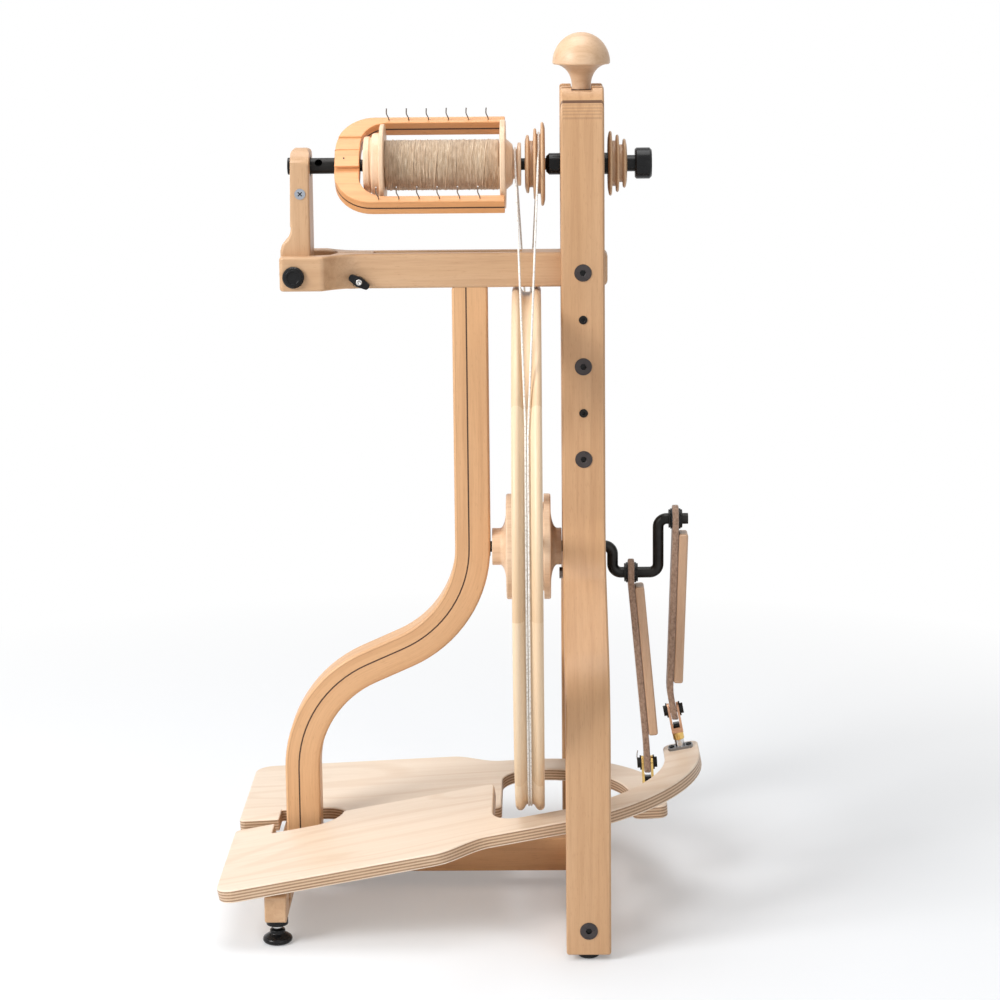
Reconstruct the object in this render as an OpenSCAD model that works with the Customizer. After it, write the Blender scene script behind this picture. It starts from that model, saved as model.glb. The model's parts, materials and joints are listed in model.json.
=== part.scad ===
// Double treadle spinning wheel: an upright wheel with bentwood posts, a flyer over the drive
// wheel, a bent crank at the back and two treadles that rock on a rod at the front.
// Millimetres, +Z up. The spinner sits on the -X side and the crank is on the +X side.

/* [Rear posts] */
// Width of a rear post, front to back
post_w = 40; // [34:1:46]
// Thickness of the bent laminations of a rear post
post_t = 26; // [22:1:30]
// Gap between the two posts above the flare
post_gap = 32; // [30:1:36]
// Height of the post tops above the flyer's axis
post_over = 72.5; // [64:0.5:90]
// Distance from the drive wheel's plane to the middle of the posts
post_x = 52; // [48:1:60]
// Outward shift of each post between its straight top and its foot
post_flare = 158; // [140:1:170]
// Height above the axle at which the flare starts
flare_rise = 41; // [26:1:56]
// Radius of the flare's two bends, at the middle of the post
flare_r = 80; // [65:1:95]
// Steepest slope of the flare, from the vertical
flare_angle = 60; // [50:1:68]
// Height of the round-over at the top of each post
crown_h = 34; // [24:1:40]
// Depth of that round-over
crown_d = 17; // [10:1:19]

/* [Front post] */
// Thickness of the front post, front to back
fpost_t = 33.2; // [28:0.2:38]
// Width of the front post, side to side
fpost_w = 30; // [26:1:36]
// Distance from the drive wheel's plane to the middle of the front post's top
fpost_x = 52.8; // [50:0.2:60]
// Forward shift of the front post's foot
fpost_shift = 165.8; // [150:0.2:180]
// Height above the axle at which the front post starts to bend
fpost_bend = 2; // [-9:1:11]
// Radius of the front post's bends
fpost_r = 110; // [95:1:120]
// Steepest slope of the front post, from the vertical
fpost_angle = 66; // [58:1:72]
// Thickness of the dark stripe between two laminations
stripe_t = 1.4; // [1:0.1:2.4]
// Distance of the stripe in front of the front post's middle
stripe_off = 3.3; // [0:0.1:8]

/* [Base] */
// Height of the flush tops of the beam and the front foot bar
base_top = 48; // [44:1:52]
// Height of the centre beam
beam_h = 33; // [26:1:36]
// Width of the centre beam
beam_w = 24; // [20:1:30]
// Thickness of the front foot bar, front to back
bar_t = 20; // [18:1:24]
// Height of the front foot bar
bar_h = 25; // [22:1:28]
// Length of the front foot bar
bar_l = 330; // [310:2:340]
// Height of the rear foot rail
rail_h = 36; // [30:1:40]
// Thickness of the rear foot rail, front to back
rail_t = 30; // [26:1:34]
// Height of the rear glides
glide_h = 5; // [4:0.5:7]
// Diameter of the rear glides
glide_d = 20; // [16:1:24]
// Diameter of a levelling foot's disc
foot_d = 27; // [22:1:32]
// Distance of the levelling feet from the ends of the bar
foot_inset = 15; // [12:1:22]
// Diameter of a levelling foot's stud
stud_d = 8; // [6:1:10]

/* [Drive wheel] */
// Diameter over the beads of the rim
wheel_d = 495; // [480:1:505]
// Height of the rim's lowest point above the floor
wheel_under = 86.5; // [84:0.5:90]
// Width of the rim
rim_w = 27; // [24:0.5:32]
// Depth of the rim from its inner edge to its beads
rim_depth = 32; // [26:1:40]
// Radius of each bead on the rim
bead_r = 4; // [3.5:0.25:4.5]
// Depth of the cord groove below the tops of the beads
groove_depth = 6; // [5:0.5:7]
// Width of the cord groove
groove_w = 11.6; // [10.5:0.1:12]
// Number of spokes
spoke_n = 8; // [6:1:12]
// Diameter of a spoke at its bead
spoke_d = 15; // [12:1:18]
// Diameter of the hub flanges
hub_d = 100; // [90:1:110]
// Diameter of the hub's nose at each end
nose_d = 35; // [30:1:40]
// Length of the hub's front nose from the wheel's plane
hub_front = 34.4; // [32:0.2:35]
// Length of the hub's rear nose from the wheel's plane
hub_rear = 31.2; // [30:0.2:31.4]
// Diameter of the axle and the crank rod
axle_d = 10.4; // [9:0.2:12]
// Throw of the crank
crank_throw = 26; // [22:1:28]
// Radius of the crank rod's bends
crank_bend = 8; // [7:0.5:9]

/* [Mother-of-all] */
// Gap between the rim and the arm over it
arm_over = 2.5; // [2:0.5:8]
// Height of the arm
arm_h = 32; // [28:1:34]
// Distance from the drive wheel's plane to the arm's front end
arm_front = 227; // [222:1:235]
// Distance the arm's rear end stands out behind the posts
arm_tail = 3.5; // [2:0.5:6]
// Width of the arm's front fork
fork_w = 74; // [68:1:78]
// Length of the fork's wide front
fork_l = 40; // [34:1:46]
// Length of the hollow curve behind it
cove_l = 36; // [30:1:44]
// Distance of the tilt bolt from the arm's front end
tilt_bolt_in = 13.2; // [12:0.2:16]
// Height of that bolt above the arm's underside
tilt_bolt_up = 13.5; // [12:0.5:16]
// Distance of the clamp screw from the arm's front end
clamp_in = 72.6; // [68:0.2:80]
// Width of the maiden, side to side
maiden_t = 43; // [38:1:44]
// Thickness of the maiden, front to back
maiden_w = 17; // [15:0.5:20]
// Distance of the maiden's back from the front of the arm
maiden_in = 28; // [26:0.5:32]
// Height of the flyer's axis above the arm's top
flyer_rise = 80.5; // [74:0.5:86]

/* [Flyer and bobbin] */
// Width over the flyer's arms
flyer_w = 101; // [98:1:106]
// Width of each flyer arm
flyer_arm = 7.5; // [7:0.5:9]
// Thickness of the flyer's laminations together
flyer_t = 18; // [16:0.5:20]
// Length of the flyer's arms and yoke together
flyer_l = 157; // [150:1:162]
// Width of the flyer's yoke, front to back
yoke_w = 23; // [20:1:24]
// Roll of the flyer at rest, from the vertical
flyer_roll = 44; // [0:1:60]
// Diameter of the orifice tube
orifice_d = 14.8; // [13:0.2:16]
// Diameter of the flyer's shaft
shaft_d = 11; // [9:0.5:12]
// Diameter of the bobbin's rear flange
bobbin_d = 82; // [76:1:83]
// Diameter of the wound yarn
yarn_d = 47; // [40:1:56]
// Turns of yarn in the outer layer
yarn_turns = 24; // [12:1:24]
// Diameter of the wound strand
yarn_strand = 3.7; // [2:0.1:3.8]
// Diameter of the drive band
band_d = 2.4; // [2:0.1:2.6]
// Diameter of the flyer whorl's groove that the band runs in
flyer_groove = 55; // [52:1:58]
// Diameter of the bobbin whorl's groove
bobbin_groove = 27; // [25:1:30]

/* [Tension] */
// Diameter of the tension screw
screw_d = 10; // [8:0.5:12]
// Diameter of the tension knob's cap
knob_d = 53; // [46:1:60]
// Height of the tension knob
knob_h = 54; // [48:1:60]

/* [Treadles] */
// Thickness of the treadle boards
board_t = 12.5; // [11:0.5:14]
// Width of each treadle
board_w = 168; // [160:1:174]
// Length of the board in front of its rod
board_front = 50; // [44:1:56]
// Distance from the rod to the near treadle's ring centre
near_reach = 274; // [270:1:280]
// How much shorter the far treadle's reach is
reach_step = 40; // [36:1:44]
// Inner radius of a treadle's curved arm
ring_in = 97; // [94:1:100]
// Width of a treadle's curved arm
ring_w = 34; // [30:1:36]
// Slope of the near treadle at rest, its rear end up
near_slope = 10.5; // [9:0.1:11]
// Slope of the far treadle at rest
far_slope = 2.8; // [2:0.1:4]
// Distance of the treadle rod from the drive wheel's plane
rod_x = 232; // [230:0.5:234]
// Height of the treadle rod
rod_z = 37; // [36:0.5:38]
// Diameter of the treadle rod
rod_d = 8; // [6:0.5:9]
// Height of the boards' tops above the rod, square to the board
board_rise = 27; // [26:0.5:30]
// Height of the clevis pins above the boards
clevis_h = 39; // [36:0.5:42]

/* [Footmen] */
// Thickness of the leather strap
strap_t = 6; // [4:0.5:6]
// Width of the leather strap
strap_w = 22; // [18:1:24]
// Thickness of the wooden slat bonded to the strap
slat_t = 9; // [7:0.5:11]
// Distance of the near footman from the drive wheel's plane
near_pin_x = 139; // [137:0.5:141]
// Distance of the far footman from the drive wheel's plane
far_pin_x = 97; // [96:0.5:100]

/* [Hidden] */

// Clearances: of a running shaft, of a fixed pin and of a sliding or passing face
run_c = 0.06;
fix_c = 0.02;
gap_c = 0.3;
eps = 1;
bend_n = 16;

// Heights that follow from the wheel, and the far treadle's reach
axle_z = wheel_d / 2 + wheel_under;
arm_z0 = axle_z + wheel_d / 2 + arm_over;
arm_top = arm_z0 + arm_h;
flyer_z = arm_top + flyer_rise;
post_top = flyer_z + post_over;
flare_top = axle_z + flare_rise;
fpost_bend_z = axle_z + fpost_bend;
far_reach = near_reach - reach_step;

// The origin lies under the middle of the box that holds the treadles front to back
near_front_x = -rod_x - board_front * cos(near_slope) - board_rise * sin(near_slope);
near_rear_x = -rod_x + (near_reach + ring_in + ring_w) * cos(near_slope)
  - (board_rise - board_t) * sin(near_slope);
mid_x = (near_front_x + near_rear_x) / 2;

// Rear posts and what stands between them
post_in = post_gap / 2;
post_out = post_in + post_t;
post_mid = post_in + post_t / 2;
post_x0 = post_x - post_w / 2;
post_x1 = post_x + post_w / 2;
flare_l = (post_flare - 2 * flare_r * (1 - cos(flare_angle))) / sin(flare_angle);
foot_in = post_in + post_flare;
rail_z = glide_h + 5;
spine_inset = 3;
spine_drop = 37;
spine_z0 = axle_z - spine_drop;
spine_z1 = arm_z0 - 6;
crown_notch_w = 19;
crown_notch_d = 4;

// Fasteners of the posts
bolt_head_d = 16;
bolt_head_h = 4;
bolt_shank_d = 6;
bolt_shank_l = 33;
bolt_proud = 0.8;
bolt_pitch = 87;
arm_bolt_z = arm_top - arm_h / 2;
bolt_zs = [arm_bolt_z, arm_bolt_z - bolt_pitch, arm_bolt_z - 2 * bolt_pitch];
screw_zs = [arm_bolt_z - bolt_pitch / 2, arm_bolt_z - 1.5 * bolt_pitch];
pscrew_head_d = 8;
pscrew_shank_d = 4;

// Front post and base
fpost_l = (fpost_shift - 2 * fpost_r * (1 - cos(fpost_angle))) / sin(fpost_angle);
fpost_foot_x = -fpost_x - fpost_shift;
bar_x0 = -rod_x - bar_t / 2;
bar_x1 = bar_x0 + bar_t;
bar_z0 = base_top - bar_h;
foot_y = bar_l / 2 - foot_inset;
rail_x0 = post_x - rail_t / 2;

// Wheel
rim_r = wheel_d / 2;
rim_in = rim_r - rim_depth;
hub_core_r = hub_d / 2 - 8;
flange_t = 6.5;
flange_x = rim_w / 2 + 1;
groove_r = rim_r - groove_depth;
band_wheel_r = groove_r + band_d / 2 + gap_c;
lane_r = band_d / 2 + 2 * gap_c + 1.2;
band_lane = groove_w / 2 - lane_r;

// Mother-of-all, maiden and flyer
tilt_x = -arm_front + tilt_bolt_in;
tilt_z = arm_z0 + tilt_bolt_up;
tilt_d = 10;
clamp_x = -arm_front + clamp_in;
clamp_z = arm_z0 + 7;
maiden_x1 = -arm_front + maiden_in;
maiden_x0 = maiden_x1 - maiden_w;
orifice_in = 5;
maiden_screw_d = 10;
maiden_over = 17;
flyer_x0 = -176;
flyer_x1 = flyer_x0 + flyer_l;
bearing_x = post_x;
bearing_r = 10;
ball_r = 12.5;
block_h = 56;
tube_clear = 0.45;

// Whorl grooves: where the band leaves them, along the axle
flyer_groove_x = 12.2;
bobbin_groove_x = -9.6;
band_flyer_r = flyer_groove / 2 + band_d / 2 + gap_c;
band_bobbin_r = bobbin_groove / 2 + band_d / 2 + gap_c;

// Crank pins and footmen
pin_near_z = axle_z + crank_throw;
pin_far_z = axle_z - crank_throw;
crank_x1 = 79.6;
crank_x2 = 122.8;
crank_end = 151;
bush_wall = 2;
bush_flange = 1.6;
pin_d = 6;

// Clevis sizes, square to the board
cheek_t = 2.2;
cheek_w = 13;
cheek_up = 8;
cheek_down = 22;
fork_gap = strap_t + 2 * gap_c;
ferrule_d = 9;
plate_l = 24;
plate_w = 13;
plate_t = 2.4;
strap_tail = 11;

// Hinge blocks under the boards
block_w = 18;
block_vs = [60, 128];
block_r = 7;

// Points on an arc about c
function arc(c, r, a0, a1, n = bend_n) =
  [for (i = [0:n]) let (a = a0 + (a1 - a0) * i / n) [c[0] + r * cos(a), c[1] + r * sin(a)]];

// One edge of a strip that runs straight down, swings over towards -x and runs straight down again
function strip_edge(o, x0, z_top, z_bend, r, angle, l, z_low) =
  let (
    c1 = [x0 - r, z_bend],
    c2 = c1 + 2 * r * [cos(angle), -sin(angle)] + l * [-sin(angle), -cos(angle)]
  )
  concat(
    [[x0 + o, z_top]],
    arc(c1, r + o, 0, -angle),
    arc(c2, r - o, 180 - angle, 180),
    [[c2[0] - r + o, z_low]]
  );

// A bent strip between two offsets from its middle line
module bent_strip(o0, o1, x0, z_top, z_bend, r, angle, l, z_low) {
  a = strip_edge(o0, x0, z_top, z_bend, r, angle, l, z_low);
  b = strip_edge(o1, x0, z_top, z_bend, r, angle, l, z_low);
  polygon(concat(a, [for (i = [len(b) - 1:-1:0]) b[i]]));
}

// Places a drawing whose x, y are the object's x, z, with its thickness centred on y = 0
module upright(w) {
  rotate([90, 0, 0]) translate([0, 0, -w / 2]) linear_extrude(w) children();
}

// Cylinders along x and along y
module rod_x_dir(d, x0, x1, fn = 48) {
  translate([x0, 0, 0]) rotate([0, 90, 0]) cylinder(d = d, h = x1 - x0, $fn = fn);
}
module rod_y_dir(d, y0, y1, fn = 48) {
  translate([0, y0, 0]) rotate([-90, 0, 0]) cylinder(d = d, h = y1 - y0, $fn = fn);
}

// A profile of [x, radius] turned about the x axis
module turned(points, fn = 96) {
  rotate([0, 90, 0]) rotate_extrude($fn = fn) polygon([for (p = points) [p[1], p[0]]]);
}

// Everything is drawn from the wheel's plane and then moved to the origin
module placed() {
  translate([-mid_x, 0, 0]) children();
}

// Rear posts

module rear_post() {
  difference() {
    intersection() {
      translate([post_x, 0, 0]) rotate([0, 0, 90]) mirror([1, 0, 0]) upright(post_w)
        bent_strip(-post_t / 2, post_t / 2, -post_mid, post_top, flare_top, flare_r, flare_angle,
          flare_l, glide_h);
      post_crown();
    }
    for (z = bolt_zs) post_bolt_bore(z, post_out, bolt_head_d, bolt_head_h, bolt_shank_d);
    for (z = screw_zs) post_bolt_bore(z, post_out, pscrew_head_d, bolt_head_h, pscrew_shank_d);
    post_bolt_bore(rail_z + rail_h / 2, foot_in + post_t, bolt_head_d, bolt_head_h, bolt_shank_d);
    translate([post_x - crown_notch_w / 2, 0, post_top - crown_notch_d])
      cube([crown_notch_w, post_out + eps, crown_notch_d + eps]);
  }
}

// The space that a post's round-over leaves at its top
module post_crown() {
  points = concat(
    [[-eps, -eps], [foot_in + 2 * post_t, -eps], [foot_in + 2 * post_t, post_top - crown_h - eps]],
    [for (i = [0:bend_n]) let (a = 90 * i / bend_n)
      [post_out - crown_d + crown_d * cos(a), post_top - crown_h + crown_h * sin(a)]],
    [[-eps, post_top]]
  );
  translate([post_x, 0, 0]) rotate([0, 0, 90]) mirror([0, 1, 0]) upright(post_w + 2 * eps)
    polygon(points);
}

module post_bolt_bore(z, y_out, head_d, head_h, shank_d) {
  translate([post_x, 0, z]) {
    rod_y_dir(shank_d + 2 * fix_c, -eps, y_out + eps);
    rod_y_dir(head_d + 2 * fix_c, y_out - head_h, y_out + eps);
  }
}

module rear_post_far() {
  color("burlywood") placed() rear_post();
}

module rear_post_near() {
  color("burlywood") placed() mirror([0, 1, 0]) rear_post();
}

module side_bolt(z, y_out, head_d, shank_d, shank_l, key) {
  translate([post_x, 0, z]) difference() {
    union() {
      rod_y_dir(shank_d, y_out - bolt_head_h - shank_l, y_out - bolt_head_h);
      rod_y_dir(head_d, y_out - bolt_head_h, y_out + bolt_proud);
    }
    rod_y_dir(key, y_out - bolt_head_h / 2, y_out + bolt_proud + eps, 6);
  }
}

module connector_bolts() {
  key = 5.6;
  color("dimgray") placed() for (s = [0, 1]) mirror([0, s, 0]) {
    for (z = bolt_zs) side_bolt(z, post_out, bolt_head_d, bolt_shank_d, bolt_shank_l, key);
    side_bolt(rail_z + rail_h / 2, foot_in + post_t, bolt_head_d, bolt_shank_d, bolt_shank_l, key);
  }
}

module post_screws() {
  key = 3.2;
  color("black") placed() for (s = [0, 1]) mirror([0, s, 0]) for (z = screw_zs)
    side_bolt(z, post_out, pscrew_head_d, pscrew_shank_d, bolt_shank_l - 6, key);
}

// The bores that the side bolts need in a block between the posts
module side_bores(zs, shank_d, y_out, shank_l) {
  for (s = [0, 1]) mirror([0, s, 0]) for (z = zs) translate([post_x, 0, z])
    rod_y_dir(shank_d + 2 * fix_c, y_out - bolt_head_h - shank_l - fix_c, y_out);
}

module post_spine() {
  x0 = post_x0 + spine_inset;
  x1 = post_x1 - spine_inset;
  color("burlywood") placed() difference() {
    translate([x0, -post_in, spine_z0]) cube([x1 - x0, post_gap, spine_z1 - spine_z0]);
    side_bores([bolt_zs[1], bolt_zs[2]], bolt_shank_d, post_out, bolt_shank_l);
    side_bores(screw_zs, pscrew_shank_d, post_out, bolt_shank_l - 6);
    translate([0, 0, axle_z]) rod_x_dir(bush_out_d() + 2 * fix_c, x0 - eps, x1 + eps);
    translate([0, 0, spine_z0 + 11]) rod_x_dir(bolt_shank_d + 2 * fix_c, x0 - eps, x0 + 20);
  }
}

module spine_bolt() {
  x0 = post_x0 + spine_inset;
  color("black") placed() translate([0, 0, spine_z0 + 11]) {
    rod_x_dir(bolt_shank_d, x0, x0 + 19);
    rod_x_dir(11, x0 - 6, x0, 6);
  }
}

module post_top_rail() {
  color("burlywood") placed() difference() {
    translate([post_x0 + spine_inset, -post_in, knob_base() - 18])
      cube([post_w - 2 * spine_inset, post_gap, 17.7]);
    translate([post_x, 0, knob_base() - 18 - eps])
      cylinder(d = screw_d + 2 * run_c, h = 20, $fn = 48);
  }
}

module rear_foot_rail() {
  color("burlywood") placed() difference() {
    translate([rail_x0, -foot_in, rail_z]) cube([rail_t, 2 * foot_in, rail_h]);
    side_bores([rail_z + rail_h / 2], bolt_shank_d, foot_in + post_t, bolt_shank_l);
  }
}

module rear_glides() {
  color("black") placed() for (s = [-1, 1]) translate([post_x, s * (foot_in + post_t / 2), 0])
    rotate_extrude($fn = 48) polygon(concat(
      [[0, 0], [glide_d / 2 - 3, 0]],
      arc([glide_d / 2 - 3, 3], 3, -90, 0, 6),
      [[glide_d / 2, glide_h], [0, glide_h]]
    ));
}

// Base

module base_beam() {
  color("burlywood") placed() translate([bar_x1, -beam_w / 2, base_top - beam_h])
    cube([rail_x0 - bar_x1, beam_w, beam_h]);
}

module front_foot_bar() {
  notch_z = rod_z - block_r - gap_c * 2;
  color("burlywood") placed() difference() {
    translate([bar_x0, -bar_l / 2, bar_z0]) cube([bar_t, bar_l, bar_h]);
    for (s = [-1, 1]) for (v = block_vs) translate([bar_x0 - eps, s * v - block_w / 2 - gap_c, notch_z])
      cube([bar_t + 2 * eps, block_w + 2 * gap_c, bar_h]);
    translate([-rod_x, 0, rod_z]) rod_y_dir(rod_d + 2 * fix_c, -rod_len() / 2 - fix_c, bar_l / 2 + eps);
    for (s = [-1, 1]) translate([-rod_x, s * foot_y, bar_z0 - eps])
      cylinder(d = stud_d + 2 * run_c, h = 11 + eps, $fn = 36);
  }
}

function rod_len() = 2 * block_vs[1] + block_w + 12;

module treadle_rod() {
  color("silver") placed() translate([-rod_x, 0, rod_z]) rod_y_dir(rod_d, -rod_len() / 2, rod_len() / 2);
}

module foot_collars() {
  color("black") placed() for (s = [-1, 1]) translate([-rod_x, s * foot_y, bar_z0 - 6])
    difference() {
      cylinder(d = bar_t, h = 6, $fn = 48);
      translate([0, 0, -eps]) cylinder(d = stud_d + 2 * run_c, h = 6 + 2 * eps, $fn = 36);
    }
}

module leveling_foot(s) {
  r = foot_d / 2;
  color("black") placed() translate([-rod_x, s * foot_y, 0]) rotate_extrude($fn = 48)
    polygon(concat(
      [[0, 0], [r - 3, 0]],
      arc([r - 3, 3], 3, -90, 60, 8),
      [[stud_d / 2 + 3, 9], [stud_d / 2 + 3, 12], [stud_d / 2, 13]],
      [[stud_d / 2, bar_z0 + 9], [0, bar_z0 + 9]]
    ));
}

module leveling_foot_near() {
  leveling_foot(-1);
}

module leveling_foot_far() {
  leveling_foot(1);
}

// Front post: two laminations with a dark stripe between them

module front_post_band(o0, o1) {
  difference() {
    upright(fpost_w) bent_strip(o0, o1, -fpost_x, arm_z0, fpost_bend_z, fpost_r, fpost_angle, fpost_l,
      base_top);
    translate([0, 0, axle_z])
      rod_x_dir(bush_out_d() + 2 * fix_c, -fpost_x - fpost_t, -fpost_x + fpost_t);
  }
}

module front_post() {
  color("burlywood") placed() {
    front_post_band(stripe_t / 2 - stripe_off, fpost_t / 2);
    front_post_band(-fpost_t / 2, -stripe_t / 2 - stripe_off);
  }
}

module front_post_stripe() {
  color("saddlebrown") placed() front_post_band(-stripe_t / 2 - stripe_off, stripe_t / 2 - stripe_off);
}

// Bushes of the axle, in the front post and in the spine
function bush_out_d() = axle_d + 8;

module axle_bush(x0, x1) {
  translate([0, 0, axle_z]) difference() {
    rod_x_dir(bush_out_d(), x0, x1);
    rod_x_dir(axle_d + 2 * run_c, x0 - eps, x1 + eps);
  }
}

module axle_bushes() {
  color("black") placed() {
    axle_bush(-fpost_x - fpost_t / 2, -fpost_x + fpost_t / 2);
    axle_bush(post_x0 + spine_inset, post_x1 - spine_inset);
  }
}

// Mother-of-all

slot_w = maiden_t + 2 * gap_c;
slot_end = maiden_x1 + 2;
channel_x0 = -142;
channel_x1 = -4;
channel_w = 12;
channel_floor = 10;
clamp_face = post_in + 0.4;

// Half the arm's width behind the fork, from 0 at the fork's end to 1 where the curve runs out
function cove_half(t) = post_in + (fork_w / 2 - post_in) * (1 - t) * (1 - t);

module mother_of_all() {
  fork = fork_w / 2;
  x0 = -arm_front;
  x1 = x0 + fork_l;
  tail = post_x1 + arm_tail;
  side = concat(
    [[tail - 4, post_in]],
    [for (i = [10:-1:0]) [x1 + cove_l * i / 10, cove_half(i / 10)]],
    arc([x0 + 4, fork - 4], 4, 90, 180, 6)
  );
  outline = concat(
    [[tail, -post_in + 4], [tail, post_in - 4]],
    side,
    [for (i = [len(side) - 1:-1:0]) [side[i][0], -side[i][1]]]
  );
  low = arm_z0 - eps;
  tall = arm_h + 2 * eps;
  color("burlywood") placed() difference() {
    translate([0, 0, arm_z0]) linear_extrude(arm_h) polygon(outline);
    translate([x0 - eps, -slot_w / 2, low]) cube([slot_end - x0 + eps, slot_w, tall]);
    translate([slot_end, 0, low]) cylinder(d = slot_w, h = tall, $fn = 64);
    translate([slot_end, -1.5, low]) cube([channel_x0 - slot_end + eps, 3, tall]);
    translate([channel_x0, -channel_w / 2, arm_z0 + channel_floor])
      cube([channel_x1 - channel_x0, channel_w, arm_h]);
    translate([tilt_x, 0, tilt_z]) rod_y_dir(tilt_d + 2 * fix_c, -fork - eps, fork + eps);
    translate([clamp_x, 0, clamp_z]) {
      rod_y_dir(6 + 2 * run_c, -fork, fork);
      for (s = [0, 1]) mirror([0, s, 0]) rod_y_dir(14, clamp_face, fork);
    }
    side_bores([bolt_zs[0]], bolt_shank_d, post_out, bolt_shank_l);
  }
}

module tilt_bolt() {
  fork = fork_w / 2;
  color("black") placed() translate([tilt_x, 0, tilt_z]) {
    rod_y_dir(tilt_d, -fork, fork);
    for (s = [0, 1]) mirror([0, s, 0]) translate([0, fork, 0]) rotate([-90, 0, 0])
      rotate_extrude($fn = 48) polygon([[0, 0], [10, 0], [10, 3], [8.5, 4.5], [0, 4.5]]);
  }
}

module clamp_wing() {
  tilt = 30;
  wing_l = 10.5;
  boss_h = 4;
  seat = clamp_face + fix_c;
  wing = concat(
    arc([-wing_l + 4, 0], 4, 130, 230, 6),
    [[0, -5]],
    arc([wing_l - 4, 0], 4, -50, 50, 6),
    [[0, 5]]
  );
  color("black") placed() translate([clamp_x, 0, clamp_z]) {
    rod_y_dir(6, -seat, seat + 8);
    translate([0, -seat, 0]) rotate([90, 0, 0]) rotate([0, 0, -tilt]) difference() {
      union() {
        cylinder(d = 9, h = boss_h + 6.5, $fn = 36);
        translate([0, 0, boss_h]) linear_extrude(5.5) polygon(wing);
      }
      translate([0, 0, boss_h + 4]) cylinder(d = 5, h = 5, $fn = 36);
    }
    translate([0, seat, 0]) rotate([-90, 0, 0]) cylinder(d = 11, h = 5, $fn = 6);
  }
}

// Front maiden, which tilts forward to free the flyer

module front_maiden() {
  top = flyer_z + maiden_over;
  round_r = maiden_t / 2;
  foot_x0 = -arm_front;
  foot_z0 = arm_z0 + 1;
  shoulder = arm_top + 7;
  outline = concat(
    arc([maiden_x1 - 5, top - 5], 5, 0, 90, 6),
    arc([maiden_x0 + 5, top - 5], 5, 90, 180, 6),
    [[maiden_x0 - 1.5, shoulder + 20]],
    arc([maiden_x0 - 17, shoulder + 18], 16, 0, -60, 6),
    [[foot_x0, shoulder - 3], [foot_x0, tilt_z]],
    arc([tilt_x, tilt_z], tilt_z - foot_z0, 180, 270, 8),
    [[maiden_x1, foot_z0]]
  );
  front = concat(
    [[-round_r, foot_z0 - eps], [round_r, foot_z0 - eps]],
    [for (i = [0:16]) let (a = 180 * i / 16) [round_r * cos(a), top - 15 + 15 * sin(a)]]
  );
  screw_y = -round_r;
  color("burlywood") placed() difference() {
    intersection() {
      upright(maiden_t) polygon(outline);
      translate([maiden_x0, 0, 0]) rotate([0, 0, 90]) upright(4 * maiden_t) polygon(front);
    }
    translate([tilt_x, 0, tilt_z]) rod_y_dir(tilt_d + 2 * run_c, -maiden_t, maiden_t);
    translate([0, 0, flyer_z]) rod_x_dir(bearing_out() + 2 * fix_c, maiden_x0 - 5, maiden_x1 + 5);
    translate([maiden_x0 + maiden_w / 2, 0, maiden_screw_z()]) {
      rod_y_dir(maiden_screw_d + 2 * fix_c, screw_y - eps, screw_y + 3);
      rod_y_dir(4 + 2 * fix_c, screw_y, screw_y + 18);
    }
  }
}

function bearing_out() = orifice_d + 5;
function maiden_screw_z() = flyer_z - 24;

module orifice_bearing() {
  bore = orifice_d + 2 * tube_clear;
  color("black") placed() translate([0, 0, flyer_z]) difference() {
    union() {
      rod_x_dir(bearing_out(), maiden_x0, maiden_x1);
      rod_x_dir(bearing_out() - 4, maiden_x0 - 4, maiden_x0);
    }
    rod_x_dir(bore, maiden_x1 - orifice_in - 1, maiden_x1 + eps);
    rod_x_dir(bore - 4, maiden_x0 - 5, maiden_x1);
    translate([maiden_x1 - 3.5, 0, 0]) rotate([0, 90, 0])
      cylinder(d1 = bore, d2 = bore + 2.4, h = 3.5 + 0.01, $fn = 48);
  }
}

module maiden_screw() {
  y0 = -maiden_t / 2;
  color("silver") placed() translate([maiden_x0 + maiden_w / 2, 0, maiden_screw_z()]) difference() {
    union() {
      rod_y_dir(maiden_screw_d, y0 - 0.6, y0 + 3);
      rod_y_dir(4, y0 + 3, y0 + 18);
    }
    for (a = [45, 135]) rotate([0, a, 0]) translate([-2.6, y0 - 1, -0.5]) cube([5.2, 2, 1]);
  }
}

// Rear bearing, its sliding block and the tension screw

function knob_base() = post_top - 6;
function block_z0() = flyer_z - block_h / 2;

module bearing_block() {
  x0 = post_x0 + 4;
  x1 = post_x1 - 4;
  hole_z = flyer_z + bearing_r + 2.2;
  color("burlywood") placed() difference() {
    translate([x0, -post_in + gap_c, block_z0()]) cube([x1 - x0, post_gap - 2 * gap_c, block_h]);
    translate([bearing_x, 0, flyer_z]) sphere(r = ball_r + run_c, $fn = 64);
    translate([0, 0, flyer_z]) rod_x_dir(2 * (bearing_r + 0.6), x0 - eps, bearing_x);
    translate([0, 0, flyer_z]) rod_x_dir(2 * 7, bearing_x, x1 + eps);
    translate([post_x, 0, hole_z + ball_r - bearing_r])
      cylinder(d = screw_d + 2 * run_c, h = block_h, $fn = 48);
  }
}

module flyer_rear_bearing() {
  x0 = bearing_x - 33;
  color("black") placed() translate([0, 0, flyer_z]) difference() {
    union() {
      turned([[x0, 0], [x0, 7], [x0 + 3, bearing_r], [bearing_x, bearing_r], [bearing_x, 0]]);
      intersection() {
        translate([bearing_x, 0, 0]) sphere(r = ball_r, $fn = 64);
        rod_x_dir(2 * ball_r, bearing_x - 6, bearing_x + 6);
      }
    }
    rod_x_dir(shaft_d + 2 * run_c, x0 - eps, bearing_x + ball_r);
  }
}

module tension_screw() {
  tip = flyer_z + ball_r + 7;
  color("silver") placed() translate([post_x, 0, tip])
    cylinder(d = screw_d, h = knob_base() - tip, $fn = 48);
}

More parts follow.
